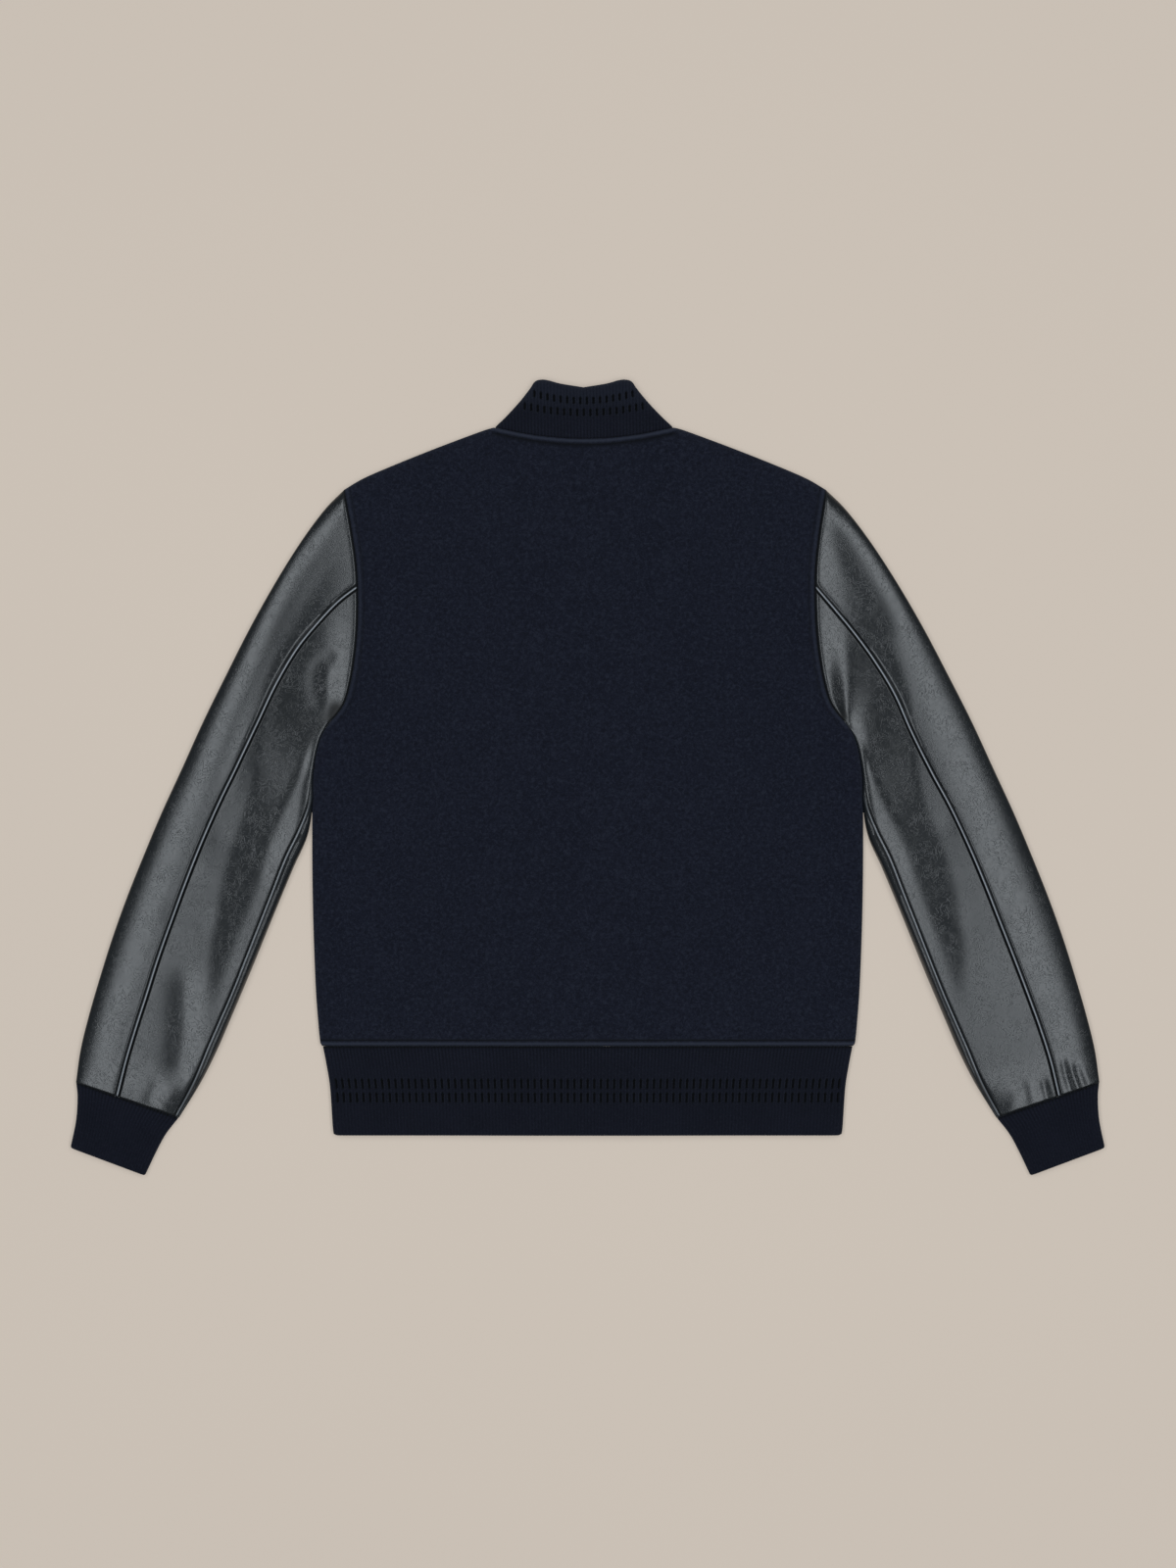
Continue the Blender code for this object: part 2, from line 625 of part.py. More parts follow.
def add_front(side):
    plan = front_plan()
    lift = closure_lift(plan[..., 0], side)
    outer, outward = under_layer(GARMENT_EDGES, plan, BODY_MID, lift)
    outer = clear_of_sleeve(outer)
    name = "front_" + side_name(side)
    add_plain_wall(name, mirrored(outer, side), mirrored(outward, side), WOOL, "navy_wool")


def sleeve_rings(places, positions, side):
    """Outer points and directions of a sleeve: a ring at each place, a point at each position.

    A position is a share of the width from the outer edge, 0 to 1 on top and 1 to 2 beneath.
    """
    rows = through_rows(SLEEVE, places)
    outer_edge, inner_edge = rows[:, 0:2], rows[:, 2:4]
    share = np.where(positions > 1.0, 2.0 - positions, positions)
    width = np.linalg.norm(inner_edge - outer_edge, axis=1)[:, None]
    share = np.clip(share, EDGE_INSET / width, 1.0 - EDGE_INSET / width)
    plan = outer_edge[:, None] + (inner_edge - outer_edge)[:, None] * share[..., None]
    armhole = along(ARMHOLE, share)
    chord = np.array(ARMHOLE[0]) + (np.array(ARMHOLE[-1]) - ARMHOLE[0]) * share[..., None]
    along_sleeve = np.asarray(places, float) / (len(SLEEVE) - 1)
    bowing = np.clip(1.0 - along_sleeve / BOWED_SHARE, 0, 1) ** BOW_POWER
    plan = plan + (armhole - chord) * bowing[:, None, None]
    blend = smoothstep(along_sleeve / FULLNESS_SHARE)[:, None]
    mid = BODY_MID + (SLEEVE_MID - BODY_MID) * blend
    crown = body_crown(plan) + (rows[:, 7][:, None] - body_crown(plan)) * blend
    radius = BODY_RADIUS + (SLEEVE_RADIUS - BODY_RADIUS) * blend
    above = upper_layer(SLEEVE_EDGES, plan, side, mid, crown, radius)
    below = under_layer(SLEEVE_EDGES, plan, mid)
    on_top = (positions <= 1.0)[..., None]
    points = np.where(on_top, above[0], below[0])
    outward = np.where(on_top, above[1], below[1])
    points[0, :, 0] += ARMHOLE_GAP / 2
    return points, square_end(outward, rows[-1, 2:4] - rows[-1, 0:2], -1)


def square_end(outward, across, ring):
    """Turns the directions of one ring into the plane of that ring, so its end is cut square."""
    across = across / np.linalg.norm(across)
    sideways = (outward[ring, :, :2] * across).sum(-1, keepdims=True) * across
    turned = np.concatenate([sideways, outward[ring, :, 2:]], axis=-1)
    outward[ring] = turned / np.linalg.norm(turned, axis=-1, keepdims=True)
    return outward


def seam_places(side):
    """The back and inner seams of one sleeve at its rings and half their gaps, as shares of width."""
    rows = through_rows(SLEEVE, SLEEVE_ROWS)
    back_seam = rows[:, 4] if side < 0 else rows[:, 5]
    width = np.hypot(rows[:, 2] - rows[:, 0], rows[:, 3] - rows[:, 1])
    gaps = [(gap / 2 / width)[:, None] for gap in (SEAM_GAP, INNER_SEAM_GAP)]
    return back_seam[:, None], rows[:, 6][:, None], gaps


def add_sleeve(side):
    back_seam, inner_seam, (half_gap, inner_half_gap) = seam_places(side)
    lower = np.array(LOWER_STEPS)
    share = (lower - lower[0]) / (lower[-1] - lower[0])
    start, end = back_seam + half_gap, inner_seam - inner_half_gap
    positions = start + (end - start) * share
    outer, outward = sleeve_rings(SLEEVE_ROWS, positions, side)
    name = "sleeve_under_" + side_name(side)
    outer, outward = mirrored(outer, side), mirrored(outward, side)
    add_plain_wall(name, outer, outward, LEATHER, "charcoal_leather")

    upper = np.array(UPPER_STEPS[::-1]) / BACK_SEAM_SHARE
    outside = (back_seam - half_gap) * upper
    beneath = np.repeat(2.0 - np.array(FRONT_STEPS[1:])[None], len(SLEEVE_ROWS), axis=0)
    turn_up = 1.0 - (1.0 - inner_seam - inner_half_gap) * np.array(TURN_UP_SHARES)
    positions = np.concatenate([outside, beneath, turn_up], axis=1)
    outer, outward = sleeve_rings(SLEEVE_ROWS, positions, side)
    name = "sleeve_top_" + side_name(side)
    outer, outward = mirrored(outer, side), mirrored(outward, side)
    add_plain_wall(name, outer, outward, LEATHER, "charcoal_leather")


def ribbed(outer, outward, columns):
    """Raises every other one of these columns and sinks the ones between."""
    relief = np.zeros(outer.shape[1])
    relief[columns] = np.where(np.arange(len(columns)) % 2 == 0, -RIB_RELIEF, RIB_RELIEF)
    return outer + outward * relief[None, :, None]


def add_cuff(side):
    upper = np.linspace(0, 1, 2 * CUFF_RIBS + 1)
    positions = np.concatenate([upper, 2.0 - np.array(CUFF_UNDER_STEPS)])
    rows = through_rows(CUFF, CUFF_ROWS)
    share = np.where(positions > 1.0, 2.0 - positions, positions)
    share = np.clip(share, CUFF_EDGE_SHARE, 1.0 - CUFF_EDGE_SHARE)[None, :, None]
    plan = rows[:, None, 0:2] + (rows[:, 2:4] - rows[:, 0:2])[:, None] * share
    crown = rows[:, 4][:, None]
    above = upper_layer(CUFF_EDGES, plan, side, CUFF_MID, crown, CUFF_RADIUS)
    below = under_layer(CUFF_EDGES, plan, CUFF_MID)
    on_top = (positions <= 1.0)[None, :, None]
    outer = np.where(on_top, above[0], below[0])
    outward = np.where(on_top, above[1], below[1])
    for ring in (0, -1):
        outward = square_end(outward, rows[ring, 2:4] - rows[ring, 0:2], ring)
    under = list(range(len(upper), len(positions)))
    inner_columns = list(range(0, len(upper), CUFF_INNER_STRIDE)) + under
    inner = (outer - outward * RIB)[:, inner_columns]
    outer = ribbed(outer, outward, np.arange(1, len(upper) - 1))
    add_wall("cuff_" + side_name(side), mirrored(outer, side), mirrored(inner, side),
             inner_columns, "navy_rib", closed=True)


def hem_sections():
    rows = through_rows(HEM, HEM_ROWS)
    return rows[:, 0], rows[:, 1] - EDGE_INSET


def add_hem_back():
    y, half_width = hem_sections()
    ribs = 2 * round(half_width[0] / RIB_PITCH)
    across = np.linspace(-1, 1, 2 * ribs + 1)
    first = 1.0 - HEM_FOLD_STEP / half_width[0]
    across = np.concatenate([[-1.0, -first], across[1:-1], [first, 1.0]])
    plan = np.stack([across[None] * half_width[:, None], np.repeat(y[:, None], len(across), 1)], -1)
    folded = np.abs(plan) * (1.0, -1.0)
    crown = body_crown(plan) - RIB_STEP
    outer, outward = upper_layer(HEM_EDGES, folded, 0, BODY_MID, crown, HEM_RADIUS)
    sign = np.where(across < 0, -1.0, 1.0)
    outer[..., 0] *= sign
    outward[..., 0] *= sign
    outward[0, :, 1] = 0.0
    last = len(across) - 1
    middle = range(HEM_INNER_COLUMNS[-1], last - HEM_INNER_COLUMNS[-1], HEM_INNER_STRIDE)
    inner_columns = list(HEM_INNER_COLUMNS[:-1]) + list(middle)
    inner_columns += [last - k for k in HEM_INNER_COLUMNS[::-1]]
    inner = (outer - outward * RIB)[:, inner_columns]
    outer = ribbed(outer, outward, np.arange(2, len(across) - 2))
    add_wall("hem_back", outer, inner, inner_columns, "navy_rib")


def add_hem_front(side):
    y, half_width = hem_sections()
    x = np.stack([
        np.concatenate([FRONT_INSIDE_X, width - np.array(FRONT_OUTSIDE_X)]) for width in half_width
    ])
    plan = np.stack([x, np.repeat(y[:, None], x.shape[1], 1)], axis=-1)
    lift = closure_lift(x, side)
    outer, outward = under_layer(HEM_EDGES, plan, BODY_MID, lift)
    outward[0, :, 1] = 0.0
    name = "hem_front_" + side_name(side)
    add_plain_wall(name, mirrored(outer, side), mirrored(outward, side), RIB, "navy_rib")


def collar_wall(x, low, high, steps, layer):
    """A band wall between a lower and an upper edge, thinning out where it gets low."""
    steps = np.array(steps)[:, None]
    y = low + (high - low) * steps
    plan = np.stack([np.repeat(np.abs(x)[None], len(steps), 0), y], axis=-1)
    outer, outward = layer(plan)
    thickness = RIB * np.clip((high - low) / COLLAR_FULL_HEIGHT, THINNEST_COLLAR, 1)
    inner = outer - outward * thickness[None, :, None]
    inner[..., 1] = np.maximum(inner[..., 1], low[None])
    inner[0, :, 1] = low
    return outer, outward, inner


def add_collar_back():
    ribs = 2 * round(COLLAR_REACH / RIB_PITCH)
    x = np.linspace(-COLLAR_REACH, COLLAR_REACH, 2 * ribs + 1)
    low = back_neck_y(x) + SEAM_GAP
    high = collar_top_y(x) - EDGE_INSET

    def layer(plan):
        over_lap = 1.0 - ramp(plan[..., 0], COLLAR_RAMP)
        crown = BODY_CROWN + (CLOSURE_CROWN - BODY_CROWN) * over_lap
        return upper_layer(COLLAR_EDGES, plan, 0, BODY_MID, crown, COLLAR_RADIUS)

    outer, outward, inner = collar_wall(x, low, high, COLLAR_STEPS, layer)
    sign = np.where(x < 0, -1.0, 1.0)
    inner_columns = sorted(set(range(0, len(x), COLLAR_INNER_STRIDE)) | {len(x) // 2, len(x) - 1})
    inner = inner[:, inner_columns]
    outer = ribbed(outer, outward, np.arange(1, len(x) - 1))
    outer[..., 0] *= sign
    inner[..., 0] *= sign[inner_columns]
    add_wall("collar_back", outer, inner, inner_columns, "navy_rib")


def add_collar_front(side):
    x = np.array(FRONT_NECK_X[:-1] + (COLLAR_REACH,))
    low = front_neck_y(x) + SEAM_GAP
    fold_x, fold_y = COLLAR_TOP[COLLAR_FOLD_ROW]
    slope = FRONT_COLLAR_TOP_Y + (fold_y - FRONT_COLLAR_TOP_Y) * (x / fold_x) ** FRONT_COLLAR_POWER
    high = np.where(x < fold_x, slope, collar_top_y(x)) - EDGE_INSET

    def layer(plan):
        lift = closure_lift(plan[..., 0], side)
        return under_layer(COLLAR_SLOPE_EDGES, plan, BODY_MID, lift)

    outer, outward, inner = collar_wall(x, low, high, FRONT_COLLAR_STEPS, layer)
    outer, inner = mirrored(outer, side), mirrored(inner, side)
    add_wall("collar_front_" + side_name(side), outer, inner, range(len(x)), "navy_rib")


def add_snap(number, y):
    """A snap fastener's flat cap, face down on the surface under the lapped fronts."""
    profile = (
        (SNAP_RADIUS - SNAP_BEVEL, 0.0),
        (SNAP_RADIUS, SNAP_BEVEL),
        (SNAP_RADIUS, SNAP_HEIGHT),
    )
    angles = np.linspace(0, 2 * np.pi, SNAP_SIDES, endpoint=False)
    centre_x = leaned(np.array([[0.0, y, 0.0]]))[0, 0]
    vertices = [
        (centre_x + radius * np.cos(angle), y + radius * np.sin(angle), level)
        for radius, level in profile
        for angle in angles
    ]
    faces = [tuple(range(SNAP_SIDES))[::-1]]
    for ring in range(len(profile) - 1):
        for k in range(SNAP_SIDES):
            low = ring * SNAP_SIDES
            following = (k + 1) % SNAP_SIDES
            faces.append((low + k, low + following, low + SNAP_SIDES + following, low + SNAP_SIDES + k))
    top = (len(profile) - 1) * SNAP_SIDES
    faces.append(tuple(range(top, top + SNAP_SIDES)))
    add_object(f"snap_{number}", np.array(vertices) * MM, faces, "snap_metal")


def main():
    for old in list(bpy.data.objects):
        bpy.data.objects.remove(old)
    add_back()
    for side in (-1, 1):
        add_front(side)
        add_sleeve(side)
        add_cuff(side)
        add_hem_front(side)
        add_collar_front(side)
    add_hem_back()
    add_collar_back()
    for number, y in enumerate(SNAP_PLACES, start=1):
        add_snap(number, y)


main()
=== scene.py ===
"""Looks of a varsity jacket that lies face down: wool body, leather sleeves and rib-knit edges.

Every cloth piece is a thin closed shell on the form of its CAD solid, with its seams, ribs, folds
and stitches as real shape. Over that shape a per-point attribute paints shade into their grooves,
furrows, slits, seam edges and pockets, and paints highlights onto raised seam bands, rib crests and
the collar's top. Lengths in the tables are millimetres, and meshes are made in metres.
Each half is described for +X and mirrored.
"""

from collections import namedtuple

import bpy
import numpy as np
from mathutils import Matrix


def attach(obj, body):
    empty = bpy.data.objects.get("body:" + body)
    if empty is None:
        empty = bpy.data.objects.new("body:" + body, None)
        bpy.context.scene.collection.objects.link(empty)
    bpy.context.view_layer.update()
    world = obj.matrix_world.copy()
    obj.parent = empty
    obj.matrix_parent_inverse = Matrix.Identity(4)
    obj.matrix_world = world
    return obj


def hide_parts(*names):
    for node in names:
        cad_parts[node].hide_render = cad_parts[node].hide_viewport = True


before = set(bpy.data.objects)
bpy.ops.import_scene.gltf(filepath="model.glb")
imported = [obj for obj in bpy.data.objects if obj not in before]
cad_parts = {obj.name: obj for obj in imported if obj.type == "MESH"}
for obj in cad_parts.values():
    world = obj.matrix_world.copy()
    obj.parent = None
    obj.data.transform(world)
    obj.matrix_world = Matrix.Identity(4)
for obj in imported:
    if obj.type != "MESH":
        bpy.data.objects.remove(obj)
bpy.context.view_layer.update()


def rows_of(fields, *rows):
    """A table's rows as named tuples."""
    kind = namedtuple("Row", fields)
    return tuple(kind(*row) for row in rows)


MM = 0.001
SHARP_ANGLE = 50
STRAIGHT_DEPTH = 0.3  # this near to a line, the way inwards is square to it
PITCH = 4.2  # usual distance between grid lines of the plain cloth

# Cloth and seams
WOOL = 2.4
LEATHER = 2.6
RIB = 2.6
SEAM_GAP = 0.3
EDGE_INSET = 0.02

# Levels above the surface that the jacket lies on
BODY_MID = 4.3
SLEEVE_MID = 4.8
CUFF_MID = 3.7
BODY_CROWN = 8.7
CLOSURE_CROWN = 10.9
CLOSURE_RAMP = (30.0, 160.0)
ARMHOLE_CROWN = 9.6
ARMHOLE_RAMP_X = (150.0, 225.0)
ARMHOLE_RAMP_Y = (20.0, 80.0)
RIB_STEP = 0.2  # how far the ribs lie below the wool

# Radii over which the pieces round down to their edges
UNDER_RADIUS = 7.0
BODY_RADIUS = 16.0
SLEEVE_RADIUS = 28.0
CUFF_RADIUS = 9.0
HEM_RADIUS = 12.0
COLLAR_RADIUS = 9.0

# Fullness of the leather. Shares are of the sleeve's length, from the armhole.
FULLNESS_SHARE = 0.25  # by here the sleeve's own levels have taken over from the body's
BOWED_SHARE = 0.4  # by here its rings no longer bow like the armhole
BOW_POWER = 1.5
PUFF_BLEND = 0.14  # by here its profile has taken over from the body's
PUFF_FADE = 1.3  # rows of the table over which the fullness fades above the cuff
BEND_REACH = 9.0
ARMHOLE_PUFF = {-1: 2.6, 1: 3.6}  # how far the leather swells beside the armhole seam
PUFF_RISE = 4.0
PUFF_REACH = 75.0

# Folds
FOLD_EDGES = (14.0, 7.0)  # folds die away this near the outer and the inner edge
FOLD_SAMPLES = 90
FOLD_REACH = 2.6  # in widths of the fold
UNDER_FOLDS = 0.8  # share of the raised folds that the underside shows too

# Seams and columns of the leather
SEAM_SHIFT = 2.0  # how far the seams lie inside the lines of the table
INNER_SEAM_SHOWN = (4.2, 1.6)  # row where the inner seam begins to show and over how many rows
STITCHES_FROM = {"back": 0.05, "inner": 5.3}  # rows where the stitches begin
THREAD_LIFT = 0.35
OUTER_PART = 0.7  # positions up to here belong to the back seam, those above to the inner one
UNDER_COLUMNS, OUTSIDE_COLUMNS, BENEATH_COLUMNS = 36, 20, 32
BENEATH_SPAN = (0.03, 0.97)

# Front closure
LAP = 15.0
LAP_LIFT = 4.5
LAP_RAMP = (17.0, 46.0)
SNAP_CHANNEL = 1.5
CHANNEL_RAMP = (11.5, 16.0)

# Body
HEM_SEAM_Y = -259.0
NECK_POINT = (86.5, 339.8)
NECK_CENTRE_Y = 328.3
FRONT_NECK_Y = 254.0
BACK_NECK_POWER = 2
FRONT_NECK_POWER = 3
BACK_NECK_SHARE = 0.40  # share of a panel's columns that end at the neck seam
FRONT_NECK_SPREAD = 1.25  # the same for the front, as a multiple of the neck's share of its width
ARMHOLE_PAINTED_SHADING = 0.45  # the armhole's seam gets weaker painted shade and painted highlight than the others
FRONT_COLLAR_TOP_Y = 311.0
FRONT_COLLAR_POWER = 1.25
LEAN = -4.0
LEAN_LENGTH = 369.0
LEAN_POWER = 1.5

SHOULDER_LINE = ((233.0, 279.5), (213.0, 291.0), (177.0, 306.3), (139.0, 321.3), (98.8, 336.2), NECK_POINT)
ARMHOLE = (
    (233.0, 279.5), (226.5, 242.0), (221.5, 200.0), (221.5, 150.0),
    (226.0, 108.0), (233.0, 78.0), (240.5, 64.5), (249.5, 54.5),
)
BODY_SIDE = (
    (249.5, 54.5), (254.8, 46.8), (259.4, 37.0), (263.2, 22.0), (266.0, 0.0),
    (266.8, -60.0), (266.0, -130.0), (263.5, -200.0), (260.6, -240.0), (259.4, -252.0),
    (258.7, -256.6), (257.0, HEM_SEAM_Y),
)

SLEEVE = rows_of(
    "outer_x outer_y inner_x inner_y left_seam right_seam inner_seam crown",
    (233.0, 279.5, 249.5, 54.5, 0.410, 0.410, 0.985, 9.6),
    (252.0, 260.5, 254.7, 46.8, 0.408, 0.440, 0.984, 9.8),
    (275.0, 230.0, 259.3, 37.0, 0.401, 0.450, 0.983, 10.0),
    (300.0, 191.0, 263.1, 22.0, 0.380, 0.445, 0.982, 10.2),
    (325.5, 146.5, 265.9, 0.0, 0.369, 0.432, 0.979, 10.2),
    (349.0, 101.0, 266.3, -26.0, 0.360, 0.430, 0.968, 10.2),
    (372.0, 55.0, 271.2, -56.0, 0.349, 0.412, 0.935, 10.2),
    (393.0, 9.0, 284.0, -85.0, 0.340, 0.390, 0.928, 10.2),
    (413.0, -34.5, 297.5, -117.0, 0.342, 0.384, 0.936, 10.2),
    (430.0, -75.0, 311.0, -150.0, 0.347, 0.382, 0.940, 10.2),
    (446.0, -115.0, 324.0, -182.0, 0.355, 0.384, 0.943, 10.2),
    (460.0, -154.0, 336.0, -210.5, 0.360, 0.380, 0.946, 10.1),
    (472.0, -192.0, 347.5, -237.5, 0.367, 0.372, 0.943, 10.0),
    (483.0, -230.0, 359.0, -264.0, 0.369, 0.364, 0.940, 9.8),
    (491.0, -263.0, 374.5, -294.5, 0.378, 0.368, 0.955, 9.5),
    (495.4, -294.5, 395.5, -328.5, 0.398, 0.390, 0.972, 9.0),
)
SECTION_GAPS = len(SLEEVE) - 1

# Across a sleeve the leather stands fuller than its solid. From the outer edge it rounds up by rim over
# a radius and goes on rising by slant to a crest, falls to a valley at that distance from the inner
# edge, rises again, and rounds down to the inner edge. One row for every second row of SLEEVE.
Fullness = namedtuple("Fullness", "rim radius slant crest fall valley rise inner_radius")
FULLNESS = {
    -1: (
        (5.2, 22, 0.000, 90, 0.000, 14, 0.05, 5),
        (5.2, 24, 0.002, 64, 0.036, 18, 0.17, 6),
        (6.8, 27, 0.004, 50, 0.068, 26, 0.16, 9),
        (7.0, 28, 0.036, 76, 0.110, 36, 0.13, 14),
        (7.8, 36, 0.030, 83, 0.105, 28, 0.08, 14),
        (8.0, 38, 0.026, 97, 0.085, 26, 0.07, 12),
        (7.6, 38, 0.018, 112, 0.030, 20, 0.03, 12),
        (7.0, 34, 0.018, 112, 0.030, 16, 0.00, 12),
        (7.0, 34, 0.018, 112, 0.030, 16, 0.00, 12),
    ),
    1: (
        (5.4, 26, 0.000, 80, 0.000, 14, 0.05, 5),
        (6.4, 38, 0.004, 60, 0.070, 20, 0.20, 6),
        (9.0, 52, 0.004, 50, 0.070, 20, 0.18, 6),
        (8.5, 50, 0.030, 80, 0.105, 32, 0.13, 12),
        (9.0, 54, 0.030, 83, 0.085, 28, 0.09, 12),
        (9.0, 58, 0.028, 96, 0.055, 24, 0.07, 10),
        (7.8, 46, 0.025, 116, 0.000, 18, 0.02, 10),
        (7.0, 38, 0.022, 112, 0.000, 16, 0.00, 10),
        (7.0, 38, 0.022, 112, 0.000, 16, 0.00, 10),
    ),
}

CUFF = rows_of(
    "outer_x outer_y inner_x inner_y crown",
    (495.4, -294.9, 396.0, -328.9, 8.0),
    (494.2, -309.0, 408.5, -345.0, 8.2),
    (495.6, -331.0, 418.0, -362.5, 8.2),
    (501.0, -357.5, 428.5, -384.6, 7.8),
)
CUFF_LENGTH = 64.0
CUFF_RIBS = 30
CUFF_EDGE_SHARE = 0.0003  # its columns stay this far inside its edges
CUFF_ROW_PITCH = 2.2
LEAST_HEIGHT = 0.02  # a rib never reaches the surface itself

HEM = rows_of(
    "y half_width",
    (-259.4, 256.4),
    (-278.0, 252.8),
    (-300.0, 249.4),
    (-340.0, 246.6),
    (-345.6, 244.4),
)

COLLAR_TOP = (
    (0.0, 378.6), (22.0, 382.2), (34.0, 385.4), (41.0, 386.0), (47.0, 384.0),
    (52.0, 377.0), (62.0, 364.5), (76.0, 349.5), NECK_POINT,
)
COLLAR_REACH = 85.7
COLLAR_TUCK = 0.2  # how far the rib reaches under the wool at the neck seam
COLLAR_HEIGHT = 61.5
COLLAR_ROW_PITCH = 0.95
COLLAR_FULL_HEIGHT = 12.0  # where it is lower than this, the collar is thinner too
THINNEST_COLLAR = 0.25
COLLAR_RAMP = (40.0, 80.0)
COLLAR_FOLD_ROW = 4
COLLAR_FOLD_X = 44.0
COLLAR_TOP_PAINTED_LIGHT = 0.2  # painted light: the upper part of the collar is coloured lighter, as if it caught more light
COLLAR_TOP_RAMP = (348.0, 374.0)

# Ribs and the rows of knitted slits
RIB_PITCH = 3.14
HEM_RIB_PITCH = 3.29
RIB_RELIEF = 0.34
FURROW_SHARE = 0.17  # half width of a furrow, as a share of the pitch
FAR_RIB = 0.3  # how much of their painted shade the furrows still get far from the seam
RIB_FADE = 16.0
# Painted highlight on the rib crests and painted shade in the furrows
RIB_PAINTED_LIGHT = 0.08
FURROW_PAINTED_SHADE = 0.45
COLUMNS_PER_RIB = 6
HIDDEN_COLUMNS_PER_RIB = 4
# Beside its seam a rib sinks by drop within reach, and gets painted shade of strength shade over its width
RibSeam = namedtuple("RibSeam", "drop reach shade width")
CUFF_SEAM = RibSeam(0.9, 6.0, 0.8, 1.5)
HEM_SEAM = RibSeam(1.0, 6.0, 0.8, 1.6)
COLLAR_SEAM = RibSeam(1.0, 5.0, 0.6, 1.2)
SLIT_DEPTH = 2.2
SLIT_BODY, SLIT_EDGE = 1.25, 1.6  # how full a slit is and how steep its walls are
SlitRow = namedtuple("SlitRow", "centre_y end_rise end_x half_length half_width shift")
HEM_SLITS = (
    SlitRow(-295.4, 0.0, 251.0, 5.2, 1.45, 0.0),
    SlitRow(-308.8, 0.0, 251.0, 5.2, 1.45, 0.0),
)
COLLAR_SLITS = (
    SlitRow(365.0, 7.5, 50.0, 3.8, 1.25, 1.0),
    SlitRow(353.6, 7.8, 63.0, 4.0, 1.25, 0.0),
)

# Soft folds, ridges and troughs, each along a line in plan, fading out at both of its ends.
# Side -1 is the wearer's left half, 1 the right one and 0 both.
FOLDS = rows_of(
    "side width height fade points",
    # left sleeve: soft ridge beside the back seam
    (-1, 10, 0.5, 40, ((239, 214), (264, 180), (284, 142), (305, 102), (321, 59), (335, 13), (349, -29))),
    # left sleeve: hooked ridge at the underarm and the pocket that it curls round
    (-1, 9, 1.0, 14, ((255, 62), (262, 82), (263, 97), (260, 107), (252, 115), (238, 117))),
    (-1, 6, -1.1, 10, ((254, 50), (246, 60), (240, 72), (234, 92))),
    # left sleeve: trough across towards the cuff
    (-1, 13, -1.35, 40, ((386, -172), (389, -201), (390, -229), (391, -255), (397, -288), (400, -305))),
    # right sleeve: broad hollow at the shoulder
    (1, 18, -1.6, 30, ((226, 262), (230, 251), (238, 232), (251, 197), (267, 166), (285, 122))),
    # right sleeve: pocket at the underarm
    (1, 6, -1.1, 10, ((256, 46), (247, 58), (241, 70), (235, 88))),
    # drag lines and elbow
    (1, 9, -0.4, 16, ((283, 50), (292, 70), (302, 92))),
    (-1, 12, -0.4, 20, ((318, -70), (345, -62), (372, -52))),
    (-1, 12, 0.3, 20, ((330, -96), (360, -91), (388, -84))),
    (1, 12, -0.4, 20, ((312, -58), (340, -50), (366, -40))),
    (1, 12, 0.3, 20, ((326, -88), (360, -82), (392, -74))),
    (0, 12, -0.3, 20, ((352, -136), (384, -132), (416, -128))),
    # leather gathered above the cuffs
    (-1, 5, 0.3, 9, ((462, -306), (458, -292), (456, -280))),
    (-1, 5, -0.3, 9, ((453, -308), (449, -294), (448, -284))),
    (-1, 6, -0.4, 10, ((427, -320), (420, -303), (413, -288))),
    (-1, 7, 0.4, 10, ((414, -326), (405, -308), (398, -294))),
    (1, 3.5, -0.8, 7, ((447, -318), (443, -302), (439, -288))),
    (1, 3.5, -0.8, 9, ((470, -308), (463, -289), (458, -268))),
    (1, 3.5, -0.5, 9, ((482, -304), (476, -289), (470, -273))),
    (1, 3, 0.5, 8, ((476, -306), (470, -289), (465, -274))),
    (1, 4, 0.4, 8, ((489, -300), (483, -289), (476, -278))),
    (1, 7, 0.4, 9, ((402, -330), (409, -318), (419, -300))),
    (1, 5, 0.4, 8, ((432, -318), (429, -304), (427, -288))),
    # slack in the body
    (0, 22, 0.5, 40, ((230, 46), (212, 10), (190, -40))),
    (0, 24, -0.5, 40, ((196, 215), (176, 170), (160, 125))),
    (0, 22, 0.4, 30, ((118, -180), (132, -215), (150, -252))),
    (-1, 20, 0.4, 30, ((60, 250), (100, 236), (140, 240))),
)

# Painted shade over the deep pockets of the leather, which no light reaches: the colour there is darkened
PAINTED_POCKET_SHADES = rows_of("side x y size", (-1, 243.5, 66.0, 8.0), (-1, 249.0, 57.0, 6.0), (1, 248.0, 58.5, 4.5))
POCKET_PAINTED_SHADE = 1.2  # how much painted shade darkens them in the middle

# A topstitched seam, across it: rolled edge, raised band, stitched groove
SeamForm = namedtuple("SeamForm", "drop roll band_height band_width groove_at groove_depth groove_half")
WOOL_SEAM = SeamForm(1.2, 1.0, 0.5, 4.6, 5.7, 1.1, 0.9)
NECK_SEAM = SeamForm(0.2, 0.5, 0.8, 4.4, 5.4, 1.4, 1.0)
LEATHER_SEAM = SeamForm(2.0, 1.0, 0.7, 3.2, 3.8, 1.7, 0.62)
PLAIN_DROP = 1.6  # how far a plain edge rolls down to its seam
PLAIN_ROLL = 1.5
PLAIN_SHADE = 1.15  # width of the painted shade line beside it
# Painted highlight on a seam's raised band
BAND_PAINTED_LIGHT = 0.9
ROLL_SHADE = 1.4  # how much narrower than the roll its painted shade line is

# Rings of a stitch: share of its length, radius and height
STITCH = np.array([
    (0.0, 0.27 * 0.35, -0.55), (0.16, 0.27 * 0.85, -0.12), (0.5, 0.27, 0.0),
    (0.84, 0.27 * 0.85, -0.12), (1.0, 0.27 * 0.35, -0.55),
])
STITCH_PITCH = 3.4
STITCH_LENGTH = 2.4
STITCH_SIDES = 6

